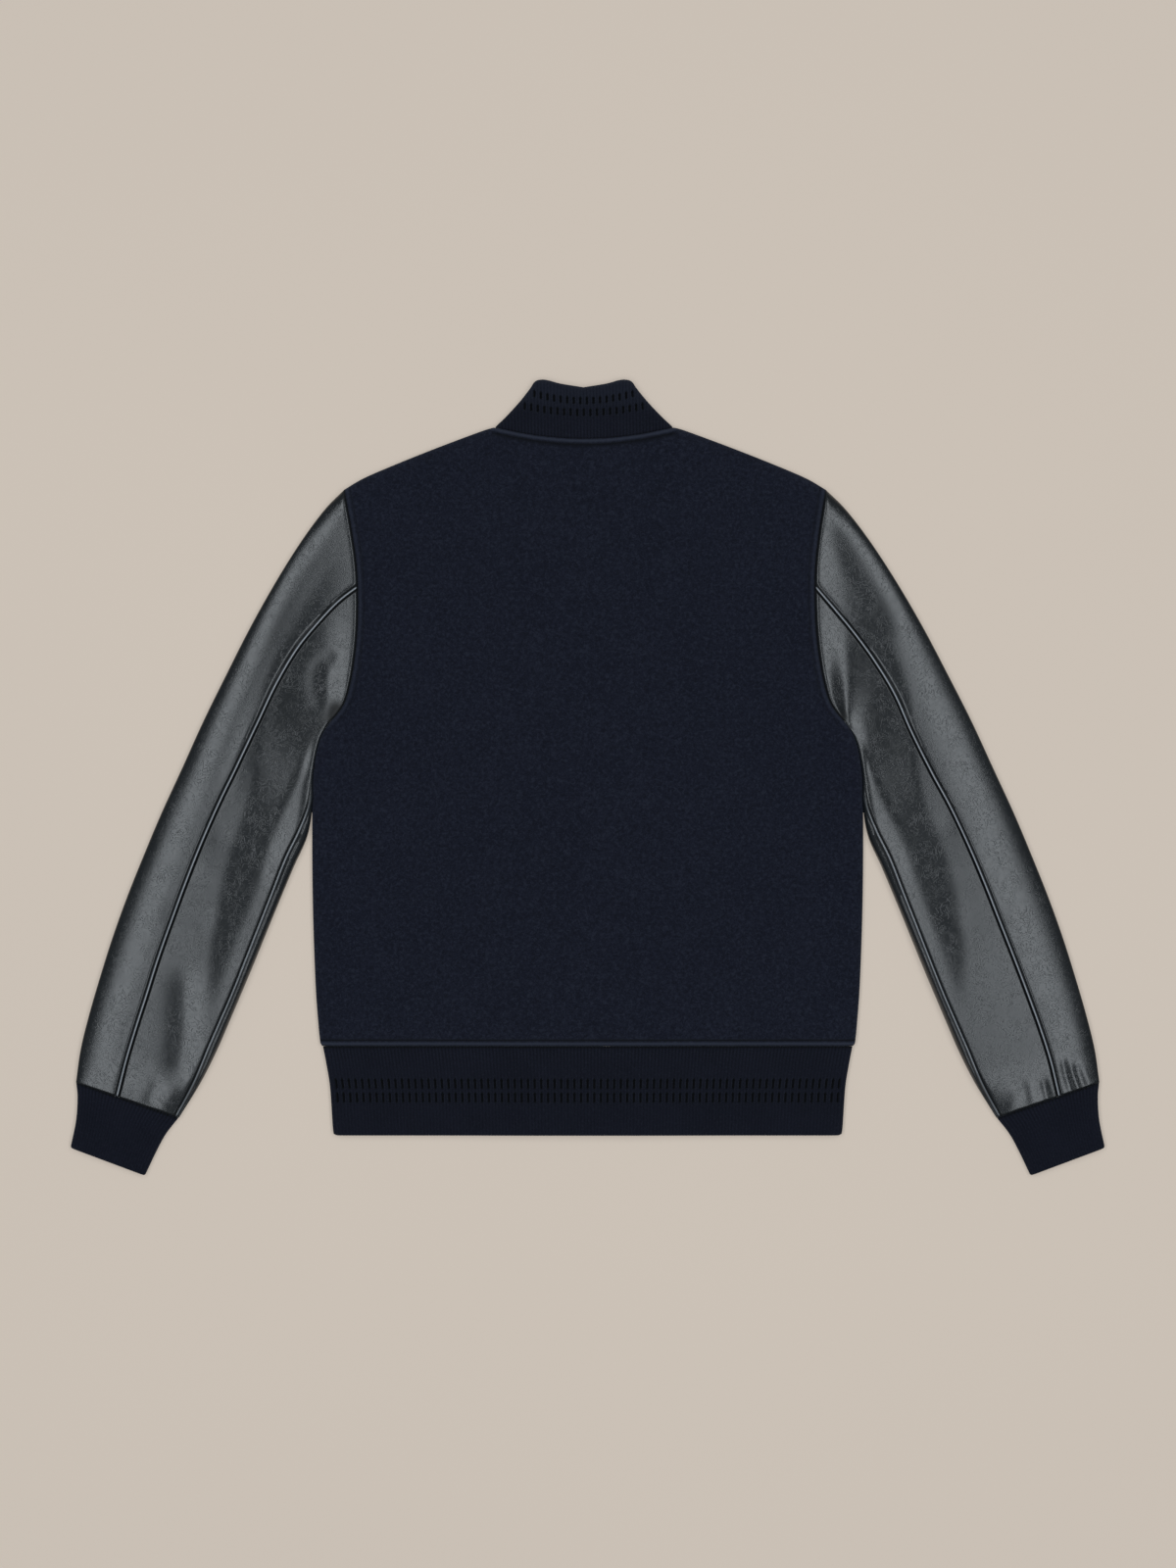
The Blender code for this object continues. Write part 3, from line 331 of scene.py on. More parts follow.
# Distances from a seam or fold at which cloth has grid lines, and shares of the width for the leather's
NEAR_SEAM = (0.15, 0.45, 0.8, 1.2, 1.6, 2.1, 2.6, 3.0, 3.35, 3.7, 4.05, 4.45, 5.1, 6.6, 9.2)
NEAR_WOOL_SEAM = (0.0, 0.4, 0.9, 1.6, 2.4, 3.2, 3.8, 4.3, 4.7, 5.1, 5.5, 5.9, 6.4, 7.2, 8.6, 10.8)
NEAR_FOLD = (0.02, 0.25, 0.8, 1.7, 3.0, 4.8, 7.2, 10.2)
LOWER_ENDS = np.array([0.0008, 0.004, 0.012, 0.028])
TURN_SHARES = np.array([0.03, 0.1, 0.2, 0.32, 0.44, 0.56, 0.67, 0.77, 0.86, 0.93, 0.97, 1.0])


def smoothstep(value):
    share = np.clip(value, 0.0, 1.0)
    return share * share * (3.0 - 2.0 * share)


def ramp(value, span):
    low, high = span
    return smoothstep((value - low) / (high - low))


def hump(value):
    """1 at 0, falling smoothly to 0 at -1 and 1."""
    return np.clip(1.0 - value**2, 0.0, 1.0) ** 2


def bell(value):
    return np.exp(-(value**2))


def through_rows(rows, places):
    """A smooth curve through a table's rows, read at places counted in rows."""
    rows = np.asarray(rows, float)
    slopes = np.gradient(rows, axis=0)
    places = np.asarray(places, float)
    low = np.clip(places.astype(int), 0, len(rows) - 2)
    part = (places - low)[..., None]
    start = (2 * part**3 - 3 * part**2 + 1) * rows[low]
    leave = (part**3 - 2 * part**2 + part) * slopes[low]
    end = (3 * part**2 - 2 * part**3) * rows[low + 1]
    arrive = (part**3 - part**2) * slopes[low + 1]
    return start + leave + end + arrive


def arc_lengths(points):
    steps = np.linalg.norm(np.diff(points, axis=0), axis=1)
    return np.concatenate([[0.0], np.cumsum(steps)])


def along(points, shares, samples=400):
    """The smooth curve through the points, read at shares of its length."""
    curve = through_rows(points, np.linspace(0, len(points) - 1, samples))
    length = arc_lengths(curve)
    wanted = np.asarray(shares, float) * length[-1]
    return np.stack([np.interp(wanted, length, curve[:, k]) for k in (0, 1)], axis=-1)


def dense(points, count=150):
    return along(points, np.linspace(0, 1, count))


def dense_rows(table, x_name, y_name, count=180):
    points = [(getattr(row, x_name), getattr(row, y_name)) for row in table]
    return through_rows(points, np.linspace(0, len(table) - 1, count))


class Lines:
    """Lines in plan, each with the side that faces inwards."""

    def __init__(self, *lines):
        parts = []
        for line, turn in lines:
            spans = np.diff(line, axis=0)
            step = spans / np.linalg.norm(spans, axis=1, keepdims=True)
            parts.append((line[:-1], spans, turn * np.stack([step[:, 1], -step[:, 0]], axis=1)))
        self.starts, self.spans, self.inward = (np.concatenate(part) for part in zip(*parts))

    def depth(self, plan, chunk=2000):
        """Distance to the nearest line and the direction away from it, for each point."""
        flat = plan.reshape(-1, 2)
        found = [self._depth(flat[k:k + chunk]) for k in range(0, len(flat), chunk)]
        depth = np.concatenate([part[0] for part in found]).reshape(plan.shape[:-1])
        return depth, np.concatenate([part[1] for part in found]).reshape(plan.shape)

    def _depth(self, plan):
        offset = plan[:, None, :] - self.starts
        share = (offset * self.spans).sum(-1) / (self.spans**2).sum(-1)
        away = offset - np.clip(share, 0, 1)[..., None] * self.spans
        distance = np.linalg.norm(away, axis=-1)
        nearest = distance.argmin(axis=-1)
        picked = np.arange(len(plan))
        depth = distance[picked, nearest]
        radial = away[picked, nearest] / np.maximum(depth, 1e-9)[:, None]
        near = (depth < STRAIGHT_DEPTH)[:, None]
        return depth, np.where(near, self.inward[nearest], radial)


def tube_edges(table):
    """Outer and inner edge of a sleeve or cuff, with their turns."""
    return (dense_rows(table, "outer_x", "outer_y"), 1), (dense_rows(table, "inner_x", "inner_y"), -1)


SHOULDER_EDGE = (dense(SHOULDER_LINE), -1)
OUTER_EDGE, INNER_EDGE = tube_edges(SLEEVE)
GARMENT_EDGES = Lines(SHOULDER_EDGE, OUTER_EDGE, (dense(BODY_SIDE), 1), INNER_EDGE)
SLEEVE_EDGES = Lines(INNER_EDGE, SHOULDER_EDGE, OUTER_EDGE)
OUTER_EDGES = Lines(SHOULDER_EDGE, OUTER_EDGE)
INNER_EDGES = Lines(INNER_EDGE)
CUFF_EDGES = Lines(*tube_edges(CUFF))
HEM_EDGES = Lines((dense_rows(HEM, "half_width", "y"), 1))
COLLAR_CURVE = dense(COLLAR_TOP, 400)
COLLAR_EDGES = Lines((dense(COLLAR_TOP), 1))
COLLAR_SLOPE_EDGES = Lines((COLLAR_CURVE[COLLAR_CURVE[:, 0] > COLLAR_FOLD_X], 1))
ARMHOLE_LINE = Lines((dense(ARMHOLE), 1))


def collar_top_y(x):
    return np.interp(np.abs(x), COLLAR_CURVE[:, 0], COLLAR_CURVE[:, 1])


def folds_at(plan, side):
    """Height that the folds add on one half, side -1 or 1; plan is that half mirrored to +X."""
    flat = plan.reshape(-1, 2)
    height = np.zeros(len(flat))
    for fold in FOLDS:
        if fold.side not in (0, side):
            continue
        line = dense(fold.points, FOLD_SAMPLES)
        lengths = arc_lengths(line)
        reach = FOLD_REACH * fold.width
        near = ((flat > line.min(axis=0) - reach) & (flat < line.max(axis=0) + reach)).all(axis=1)
        gaps = np.linalg.norm(flat[near, None] - line, axis=-1)
        place = lengths[gaps.argmin(axis=1)]
        fading = smoothstep(place / fold.fade) * smoothstep((lengths[-1] - place) / fold.fade)
        height[near] += fold.height * bell(gaps.min(axis=1) / fold.width) * fading
    return height.reshape(plan.shape[:-1])


def rounding(distance, radius):
    return np.sqrt(1.0 - (1.0 - np.clip(distance / radius, 0, 1)) ** 2)


def bend(value):
    """0 below 0 and the value itself above, with a soft change between."""
    part = np.clip((value / BEND_REACH + 1.0) / 2.0, 0, None)
    start = np.minimum(part, 1.0)
    return 2 * BEND_REACH * (start**3 - start**4 / 2 + np.maximum(part - 1.0, 0.0))


def body_crown(plan):
    x = np.abs(plan[..., 0])
    at_armhole = ramp(x, ARMHOLE_RAMP_X) * ramp(plan[..., 1], ARMHOLE_RAMP_Y)
    return (
        BODY_CROWN
        + (CLOSURE_CROWN - BODY_CROWN) * (1.0 - ramp(x, CLOSURE_RAMP))
        + (ARMHOLE_CROWN - BODY_CROWN) * at_armhole
    )


def closure_lift(x, side):
    if side < 0:
        return SNAP_CHANNEL * (1.0 - ramp(np.abs(x), CHANNEL_RAMP))
    return LAP_LIFT * (1.0 - ramp(x, LAP_RAMP))


def round_over(edges, plan, radius):
    depth, inward = edges.depth(plan)
    cosine = 1.0 - np.clip(depth / radius, 0, 1)
    return np.sqrt(1.0 - cosine**2), cosine, inward


def upper_layer(edges, plan, mid, crown, radius):
    sine, cosine, inward = round_over(edges, plan, radius)
    level = mid + (crown - mid) * sine
    outward = np.concatenate([-inward * cosine[..., None], sine[..., None]], axis=-1)
    return np.concatenate([plan, level[..., None]], axis=-1), outward


def under_layer(edges, plan, mid, lift=0.0):
    sine, cosine, inward = round_over(edges, plan, UNDER_RADIUS)
    level = mid * (1.0 - sine) + lift * sine
    outward = np.concatenate([-inward * cosine[..., None], -sine[..., None]], axis=-1)
    return np.concatenate([plan, level[..., None]], axis=-1), outward


def raised_folds(plan, side):
    """Folds of the underside: like those of the half above it on the other side, only upwards."""
    return UNDER_FOLDS * np.clip(folds_at(plan, -side), 0, None)


def seam_relief(distance, form):
    """Height and painted shading beside a topstitched seam: painted shade below 0 in the groove and beside
    the roll, painted highlight above 0 on the band.
    """
    roll = -form.drop * (1.0 - smoothstep(distance / form.roll))
    middle = form.band_width / 2
    band = hump((distance - middle) / middle)
    groove = bell((distance - form.groove_at) / form.groove_half)
    tone = BAND_PAINTED_LIGHT * band - form.drop * bell(distance / form.roll * ROLL_SHADE) - groove
    return roll + form.band_height * band - form.groove_depth * groove, tone


def plain_relief(distance):
    """Height and painted shade beside a seam that this piece only rolls down to."""
    fall = 1.0 - smoothstep(distance / PLAIN_ROLL)
    return -PLAIN_DROP * fall, -bell(distance / PLAIN_SHADE)


def material(name, build):
    made = bpy.data.materials.new(name)
    made.use_nodes = True
    build(Nodes(made.node_tree))
    return made


def leaned(points):
    moved = np.array(points, float)
    moved[..., 0] += LEAN * (np.clip(moved[..., 1], 0, None) / LEAN_LENGTH) ** LEAN_POWER
    return moved


def quads(rows, columns, start, closed, turned):
    """Faces of a grid whose points begin at start."""
    r, c = np.meshgrid(np.arange(rows - 1), np.arange(columns if closed else columns - 1), indexing="ij")
    right = (c + 1) % columns
    corners = [r * columns + c, r * columns + right, (r + 1) * columns + right, (r + 1) * columns + c]
    faces = np.stack(corners, axis=-1).reshape(-1, 4) + start
    return (faces[:, ::-1] if turned else faces).tolist()


def shell(name, outer, inner, tone, dressing, side=1, every=1, closed=False):
    """A closed thin shell between two grids of points; of the inner one it takes every so many columns."""
    inner = inner[:, ::every]
    rows, columns = outer.shape[:2]
    inner_count = inner.shape[1]
    points = mirrored(np.concatenate([outer.reshape(-1, 3), inner.reshape(-1, 3)]), side)
    start = rows * columns
    faces = quads(rows, columns, 0, closed, False) + quads(rows, inner_count, start, closed, True)
    for r, turned in ((0, False), (rows - 1, True)):
        first = start + r * inner_count
        for c in range(inner_count if closed else inner_count - 1):
            ring = [r * columns + k % columns for k in range(c * every, (c + 1) * every + 1)]
            face = [first + c, first + (c + 1) % inner_count] + ring[::-1]
            faces.append(face[::-1] if turned else face)
    if not closed:
        for c, first, turned in ((0, start, True), (columns - 1, start + inner_count - 1, False)):
            for r in range(rows - 1):
                low = first + r * inner_count
                face = [r * columns + c, low, low + inner_count, (r + 1) * columns + c]
                faces.append(face[::-1] if turned else face)
    if signed_volume(points, faces) < 0:
        faces = [face[::-1] for face in faces]
    painted_shadings = np.concatenate([tone.ravel(), np.zeros(inner.shape[0] * inner_count)])
    return add_mesh(name, leaned(points) * MM, faces, painted_shadings, dressing)


def signed_volume(points, faces):
    total = 0.0
    for size in (3, 4):
        some = np.array([face for face in faces if len(face) == size])
        if len(some):
            for k in range(1, size - 1):
                a, b, c = points[some[:, 0]], points[some[:, k]], points[some[:, k + 1]]
                total += (a * np.cross(b, c)).sum()
    return total


def placed(name, data, location=(0.0, 0.0, 0.0)):
    made = bpy.data.objects.new(name, data)
    made.location = location
    bpy.context.scene.collection.objects.link(made)
    return made


def add_mesh(name, points, faces, painted_shadings, dressing):
    mesh = bpy.data.meshes.new(name)
    mesh.from_pydata(points.tolist(), [], faces)
    mesh.update()
    mesh.shade_smooth()
    mesh.set_sharp_from_angle(angle=np.radians(SHARP_ANGLE))
    # per-point painted shading: painted shade below 0, painted highlight above 0
    attribute = mesh.attributes.new("tone", "FLOAT", "POINT")
    attribute.data.foreach_set("value", np.asarray(painted_shadings, np.float32))
    mesh.materials.append(dressing)
    return placed(name, mesh)


def mirrored(points, side):
    turned = np.array(points, float)
    turned[..., 0] *= side
    return turned


def side_name(side):
    return "left" if side < 0 else "right"


def spread(start, end, first, last, pitch=PITCH):
    """Places from start to end: the first and last distances from the two ends, evenly spaced between."""
    head = start + np.array(first)
    tail = end - np.array(last)[::-1]
    count = max(2, int(round((tail[0] - head[-1]) / pitch)) + 1)
    return np.concatenate([head[:-1], np.linspace(head[-1], tail[0], count), tail[1:]])


def edge_shares(first, second):
    lengths = [arc_lengths(edge) for edge in (first, second)]
    return (lengths[0] / lengths[0][-1] + lengths[1] / lengths[1][-1]) / 2


def patch(bottom, top, left, right):
    """A grid of plan points inside four edges that share their corners (a Coons patch)."""
    v = edge_shares(left, right)[:, None, None]
    u = edge_shares(bottom, top)[None, :, None]
    ruled = (1 - v) * bottom[None] + v * top[None] + (1 - u) * left[:, None] + u * right[:, None]
    corners = ((1 - u) * (1 - v) * bottom[0] + u * (1 - v) * bottom[-1]
               + (1 - u) * v * top[0] + u * v * top[-1])
    return ruled - corners


def side_edge():
    """A half panel's outer edge, hem seam to shoulder point."""
    underarm_y = BODY_SIDE[0][1]
    heights = spread(HEM_SEAM_Y, underarm_y, NEAR_WOOL_SEAM, (0.0, 1.5, 4.0))
    curve = along(BODY_SIDE, np.linspace(0, 1, 600))
    x = np.interp(-heights, -curve[:, 1], curve[:, 0]) - EDGE_INSET
    armhole_length = arc_lengths(dense(ARMHOLE))[-1]
    steps = spread(0.0, armhole_length, (0.0, 0.8, 1.8, 3.2, 5.0), NEAR_WOOL_SEAM) / armhole_length
    armhole = along(ARMHOLE, steps[::-1])
    armhole[-1, 1] -= EDGE_INSET
    return np.concatenate([np.stack([x, heights], axis=1), armhole[1:]])


def neck_y(x, centre_y, power):
    rise = NECK_POINT[1] - centre_y
    return centre_y + rise * (np.abs(x) / NECK_POINT[0]) ** power


def panel_plan(right, x, shares, neck_share, centre_y, power, gap=0.0):
    """Plan points of half a panel of the body, with columns at x, or shares of its width, along the hem.
    Above, neck_share of the columns end at the neck seam and the rest at the shoulder fold."""
    neck_x = x[0] + (NECK_POINT[0] - x[0]) * np.clip(shares / neck_share, 0, 1)
    neck = np.stack([neck_x, neck_y(neck_x, centre_y, power) - gap], axis=1)
    shoulder = along(SHOULDER_LINE[::-1], np.clip((shares - neck_share) / (1.0 - neck_share), 0, 1))
    shoulder[:, 1] -= EDGE_INSET
    top = np.where((shares <= neck_share)[:, None], neck, shoulder)
    top[-1] = right[-1]
    bottom = np.stack([x, np.full(len(x), HEM_SEAM_Y)], axis=1)
    length = arc_lengths(right)
    y = HEM_SEAM_Y + length / length[-1] * (top[0, 1] - HEM_SEAM_Y)
    return patch(bottom, top, np.stack([np.full(len(y), x[0]), y], axis=1), right)


def finish_piece(piece, node, with_pieces=()):
    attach(piece, "root")
    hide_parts(node)
    for extra in with_pieces:
        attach(extra, "root")


def back_relief(plan):
    """Seams of the back: hem, neck and armhole, each topstitched."""
    x, y = plan[..., 0], plan[..., 1]
    slope = 2 * (NECK_POINT[1] - NECK_CENTRE_Y) * x / NECK_POINT[0] ** 2
    below_neck = (neck_y(x, NECK_CENTRE_Y, BACK_NECK_POWER) - y) / np.hypot(1, slope)
    beyond_neck = np.hypot(x - NECK_POINT[0], y - NECK_POINT[1])
    height, tone = np.zeros(x.shape), np.zeros(x.shape)
    for distance, form, strength in (
        (y - HEM_SEAM_Y, WOOL_SEAM, 1.0),
        (np.where(x < NECK_POINT[0], below_neck, beyond_neck), NECK_SEAM, 1.0),
        (ARMHOLE_LINE.depth(plan)[0], WOOL_SEAM, ARMHOLE_PAINTED_SHADING),
    ):
        relief, shade = seam_relief(np.abs(distance), form)
        height += relief
        tone += shade * strength
    return height, np.clip(tone, -1, 1)


def add_back(dressing):
    right = side_edge()
    half_width = right[0, 0]
    shares = spread(0.0, half_width, (0.0,), NEAR_WOOL_SEAM) / half_width
    plan = panel_plan(right, shares * half_width, shares, BACK_NECK_SHARE, NECK_CENTRE_Y, BACK_NECK_POWER)
    halves = []
    for side in (-1, 1):
        crown = body_crown(plan) + folds_at(plan, side)
        points, outward = upper_layer(GARMENT_EDGES, plan, BODY_MID, crown, BODY_RADIUS)
        relief, tone = back_relief(plan)
        inner = points - outward * WOOL
        points[..., 2] += relief * outward[..., 2]
        order = slice(None, None, side)
        halves.append([mirrored(grid, side)[:, order] for grid in (points, inner)] + [tone[:, order]])
    joined = [np.concatenate([low[:, :-1], high], axis=1) for low, high in zip(*halves)]
    joined[1][:, len(shares) - 1, 0] = 0.0
    piece = shell("wool_back", *joined, dressing)
    finish_piece(piece, "back")


def add_front(side, dressing):
    right = side_edge()
    half_width = right[0, 0]
    x = spread(-LAP, half_width, (0.0, 3.0, 6.0), NEAR_FOLD)
    x[-1] = half_width
    neck_share = (NECK_POINT[0] + LAP) / (half_width + LAP) * FRONT_NECK_SPREAD
    plan = panel_plan(right, x, (x + LAP) / (half_width + LAP), neck_share,
                      FRONT_NECK_Y, FRONT_NECK_POWER, SEAM_GAP)
    lift = closure_lift(plan[..., 0], side) + raised_folds(plan, side)
    points, outward = under_layer(GARMENT_EDGES, plan, BODY_MID, lift)
    name = "front_" + side_name(side)
    piece = shell("wool_" + name, points, points - outward * WOOL, np.zeros(points.shape[:2]), dressing, side)
    finish_piece(piece, name)


def width_share(positions):
    """Share of a tube's width at positions round it: 0 to 1 over its upper side, 1 to 2 back beneath."""
    return np.where(positions > 1.0, 2.0 - positions, positions)


def wrapped(positions, above, below):
    """Points and directions round a tube, from those of its upper and of its under side."""
    on_top = (positions <= 1.0)[..., None]
    return [np.where(on_top, upper, under) for upper, under in zip(above, below)]


def sleeve_plan(places, positions):
    """Plan points of a sleeve at rings and at shares of the width, and the table's rows there."""
    rows = through_rows(SLEEVE, places)
    across = rows[:, 2:4] - rows[:, 0:2]
    inset = EDGE_INSET / np.linalg.norm(across, axis=1)[:, None]
    share = np.clip(width_share(positions), inset, 1.0 - inset)
    plan = rows[:, None, 0:2] + across[:, None] * share[..., None]
    chord = np.array(ARMHOLE[0]) + (np.array(ARMHOLE[-1]) - ARMHOLE[0]) * share[..., None]
    along_sleeve = np.asarray(places, float) / SECTION_GAPS
    bowing = np.clip(1.0 - along_sleeve / BOWED_SHARE, 0, 1) ** BOW_POWER
    return plan + (along(ARMHOLE, share) - chord) * bowing[:, None, None], rows, along_sleeve


def sleeve_surface(places, positions, side):
    plan, rows, along_sleeve = sleeve_plan(places, positions)
    blend = smoothstep(along_sleeve / FULLNESS_SHARE)[:, None]
    mid = BODY_MID + (SLEEVE_MID - BODY_MID) * blend
    crown = body_crown(plan) + (rows[:, 7:8] - body_crown(plan)) * blend
    radius = BODY_RADIUS + (SLEEVE_RADIUS - BODY_RADIUS) * blend
    above = upper_layer(SLEEVE_EDGES, plan, mid, crown, radius)
    below = under_layer(SLEEVE_EDGES, plan, mid, raised_folds(plan, side))
    full = smoothstep((1.0 - along_sleeve) * SECTION_GAPS / PUFF_FADE) * smoothstep(along_sleeve / PUFF_BLEND)
    form = Fullness(*through_rows(FULLNESS[side], np.asarray(places) / 2).T[..., None])
    width = np.linalg.norm(rows[:, 2:4] - rows[:, 0:2], axis=1)[:, None]
    across = width_share(positions) * width
    outer_depth, inner_depth = OUTER_EDGES.depth(plan)[0], INNER_EDGES.depth(plan)[0]
    puffed = mid + rounding(inner_depth, form.inner_radius) * (
        form.rim * rounding(outer_depth, form.radius) + form.slant * across
        - (form.slant + form.fall) * bend(across - form.crest)
        + (form.fall + form.rise) * bend(across - width + form.valley)
    )
    at_edges = rounding(outer_depth, FOLD_EDGES[0]) * rounding(inner_depth, FOLD_EDGES[1])
    armhole_depth = ARMHOLE_LINE.depth(plan)[0]
    swell = rounding(armhole_depth, PUFF_RISE) * np.clip(1.0 - armhole_depth / PUFF_REACH, 0, 1) ** 2
    added = folds_at(plan, side) + ARMHOLE_PUFF[side] * swell
    above[0][..., 2] += (puffed - above[0][..., 2]) * full[:, None] + added * at_edges
    points, outward = wrapped(positions, above, below)
    return points, square_end(outward, rows, -1), plan


def square_end(outward, rows, ring):
    """Turns the directions of one ring into the plane of that ring, so its end is cut square."""
    across = rows[ring, 2:4] - rows[ring, 0:2]
    across = across / np.linalg.norm(across)
    sideways = (outward[ring, :, :2] * across).sum(-1, keepdims=True) * across
    turned = np.concatenate([sideways, outward[ring, :, 2:]], axis=-1)
    outward[ring] = turned / np.linalg.norm(turned, axis=-1, keepdims=True)
    return outward


def sleeve_places():
    """Rings of the sleeve, about 4 mm apart along its middle and closer together at both ends."""
    fine = np.linspace(0, SECTION_GAPS, 800)
    rows = through_rows(SLEEVE, fine)
    middle = (rows[:, 0:2] + rows[:, 2:4]) / 2
    length = arc_lengths(middle)
    near_cuff = (0.0, 0.7, 1.5, 2.5, 3.8, 5.4, 7.5, 10.0)
    near_armhole = (0.0, 0.6, 1.3, 2.2, 3.3, 5.0, 7.5)
    return np.interp(spread(0.0, length[-1], near_armhole, near_cuff), length, fine)


def seam_line(side, places, which, offset):
    """A seam as shares of the width at each ring, moved towards the inner edge by an offset."""
    rows = through_rows(SLEEVE, places)
    width = np.hypot(rows[:, 2] - rows[:, 0], rows[:, 3] - rows[:, 1])
    column = {"inner": 6, "back": 4 if side < 0 else 5}[which]
    return rows[:, column] + offset / width, width


def sleeve_relief(plan, seams):
    """Height and painted shading of the seams on one sleeve piece. seams gives each one's line, form and
    strength.
    """
    height, tone = np.zeros(plan.shape[:-1]), np.zeros(plan.shape[:-1])
    for line, form, strength in seams:
        distance = Lines((line, 1)).depth(plan)[0]
        relief, shade = plain_relief(distance) if form is None else seam_relief(distance, form)
        height += relief * strength
        tone += shade * strength
    return height, np.clip(tone, -1, 1)


def add_sleeve(side, dressing, thread):
    name = side_name(side)
    places = sleeve_places()
    back_seam, width = seam_line(side, places, "back", SEAM_SHIFT)
    inner_seam, _ = seam_line(side, places, "inner", -SEAM_SHIFT)
    back_line, inner_line = (sleeve_plan(places, seam[:, None])[0][:, 0] for seam in (back_seam, inner_seam))
    shown = smoothstep((places - INNER_SEAM_SHOWN[0]) / INNER_SEAM_SHOWN[1])[:, None]
    near = np.array(NEAR_SEAM)

    # under sleeve: from the back seam to the inner seam
    positions = seam_columns(back_seam, inner_seam, width, near, near, UNDER_COLUMNS)
    surface = sleeve_surface(places, positions, side)
    relief = sleeve_relief(surface[2], [(back_line, None, 1.0), (inner_line, None, shown)])
    under = finish_leather("leather_under_" + name, surface, relief, places, side, dressing)

    # top sleeve: outer part of the upper side, all of the lower side, and the turn-up to the inner seam
    outside = seam_columns(0 * places, back_seam, width, np.array(NEAR_FOLD), near, OUTSIDE_COLUMNS)
    low = np.concatenate([LOWER_ENDS, np.linspace(*BENEATH_SPAN, BENEATH_COLUMNS), 1.0 - LOWER_ENDS[::-1]])
    beneath = 2.0 - np.repeat(low[None], len(places), axis=0)
    turn = 1.0 - TURN_SHARES[::-1] * (1.0 - inner_seam[:, None] - NEAR_SEAM[0] / width[:, None])
    positions = np.concatenate([outside[:, ::-1], beneath, turn[:, ::-1]], axis=1)
    surface = sleeve_surface(places, positions, side)
    outer_part = positions <= OUTER_PART
    inner_part = ~outer_part & (positions <= 1.0)
    relief = sleeve_relief(surface[2], [(back_line, LEATHER_SEAM, outer_part),
                                        (inner_line, LEATHER_SEAM, shown * inner_part)])
    top = finish_leather("leather_top_" + name, surface, relief, places, side, dressing)

    stitches = []
    for which, seam, sign in (("back", back_seam, -1), ("inner", inner_seam, 1)):
        groove = seam + sign * LEATHER_SEAM.groove_at / width
        used = places >= STITCHES_FROM[which]
        points, outward, _ = sleeve_surface(places, groove[:, None], side)
        line = points[used, 0] + outward[used, 0] * (THREAD_LIFT - LEATHER_SEAM.groove_depth)
        stitches.append(add_stitches(f"stitches_{which}_{name}", mirrored(line, side), thread))
    finish_piece(under, "sleeve_under_" + name)
    finish_piece(top, "sleeve_top_" + name, stitches)


def seam_columns(start, end, width, near_start, near_end, count):
    """Columns between two lines, at set distances from each and evenly spread between."""
    low = start[:, None] + near_start[None] / width[:, None]
    high = end[:, None] - near_end[::-1][None] / width[:, None]
    share = np.linspace(0, 1, count + 2)[1:-1]
    middle = low[:, -1:] + (high[:, :1] - low[:, -1:]) * share[None]
    return np.concatenate([low, middle, high], axis=1)


def length_left(rows):
    """Distance from each ring to the cuff seam, along the middle of the sleeve."""
    lengths = arc_lengths((rows[:, 0:2] + rows[:, 2:4]) / 2)
    return lengths[-1] - lengths


def finish_leather(name, surface, relief, places, side, dressing):
    points, outward, plan = surface
    height, tone = relief
    inner = points - outward * LEATHER
    upper = np.clip(outward[..., 2], 0, 1)
    end_distance = length_left(through_rows(SLEEVE, places))[:, None]
    # the cuff end and the armhole seam roll the leather down, with painted shade beside them
    for distance in (np.broadcast_to(end_distance, upper.shape), ARMHOLE_LINE.depth(plan)[0]):
        edge_height, edge_painted_shade = plain_relief(distance)
        height = height + edge_height
        tone = tone + edge_painted_shade
    # painted shade darkens the leather over the underarm pockets
    for pocket in PAINTED_POCKET_SHADES:
        if pocket.side == side:
            away = np.hypot(plan[..., 0] - pocket.x, plan[..., 1] - pocket.y)
            tone = tone - POCKET_PAINTED_SHADE * bell(away / pocket.size)
    points[..., 2] += height * upper
    return shell(name, points, inner, np.clip(tone * upper, -1, 1), dressing, side)


def add_stitches(name, line, dressing):
    """A row of short threads along a line, each dipping into the cloth at both ends."""
    length = arc_lengths(line)
    angles = np.linspace(0, 2 * np.pi, STITCH_SIDES, endpoint=False)
    points, faces = [], []
    for first in np.arange(STITCH_PITCH, length[-1] - STITCH_PITCH, STITCH_PITCH):
        places = first + STITCH[:, 0] * STITCH_LENGTH
        middle = np.stack([np.interp(places, length, line[:, k]) for k in range(3)], axis=1)
        middle[:, 2] += STITCH[:, 2]
        ahead = middle[-1] - middle[0]
        ahead /= np.linalg.norm(ahead)
        across = np.cross(ahead, (0, 0, 1.0))
        across /= np.linalg.norm(across)
        up = np.cross(across, ahead)
        start = len(points)
        for centre, size in zip(middle, STITCH[:, 1]):
            for angle in angles:
                points.append(centre + size * (across * np.cos(angle) + up * np.sin(angle)))
        faces += quads(len(STITCH), STITCH_SIDES, start, True, False)
        faces.append(list(range(start, start + STITCH_SIDES))[::-1])
        faces.append(list(range(len(points) - STITCH_SIDES, len(points))))
    return add_mesh(name, leaned(points) * MM, faces, np.zeros(len(points)), dressing)


def rib_relief(phase, seam_distance, upward):
    """Height and painted shading of a rib knit: painted shade in its furrows and painted light on its crests,
    strongest beside its seam; the relief is plain at a folded edge.
    phase counts ribs and is whole in a furrow."""
    furrow = bell((phase - np.round(phase)) / FURROW_SHARE)
    depth = FAR_RIB + (1.0 - FAR_RIB) * bell(seam_distance / RIB_FADE)
    return RIB_RELIEF * (1.0 - 2.0 * furrow) * upward, (RIB_PAINTED_LIGHT - FURROW_PAINTED_SHADE * furrow) * depth


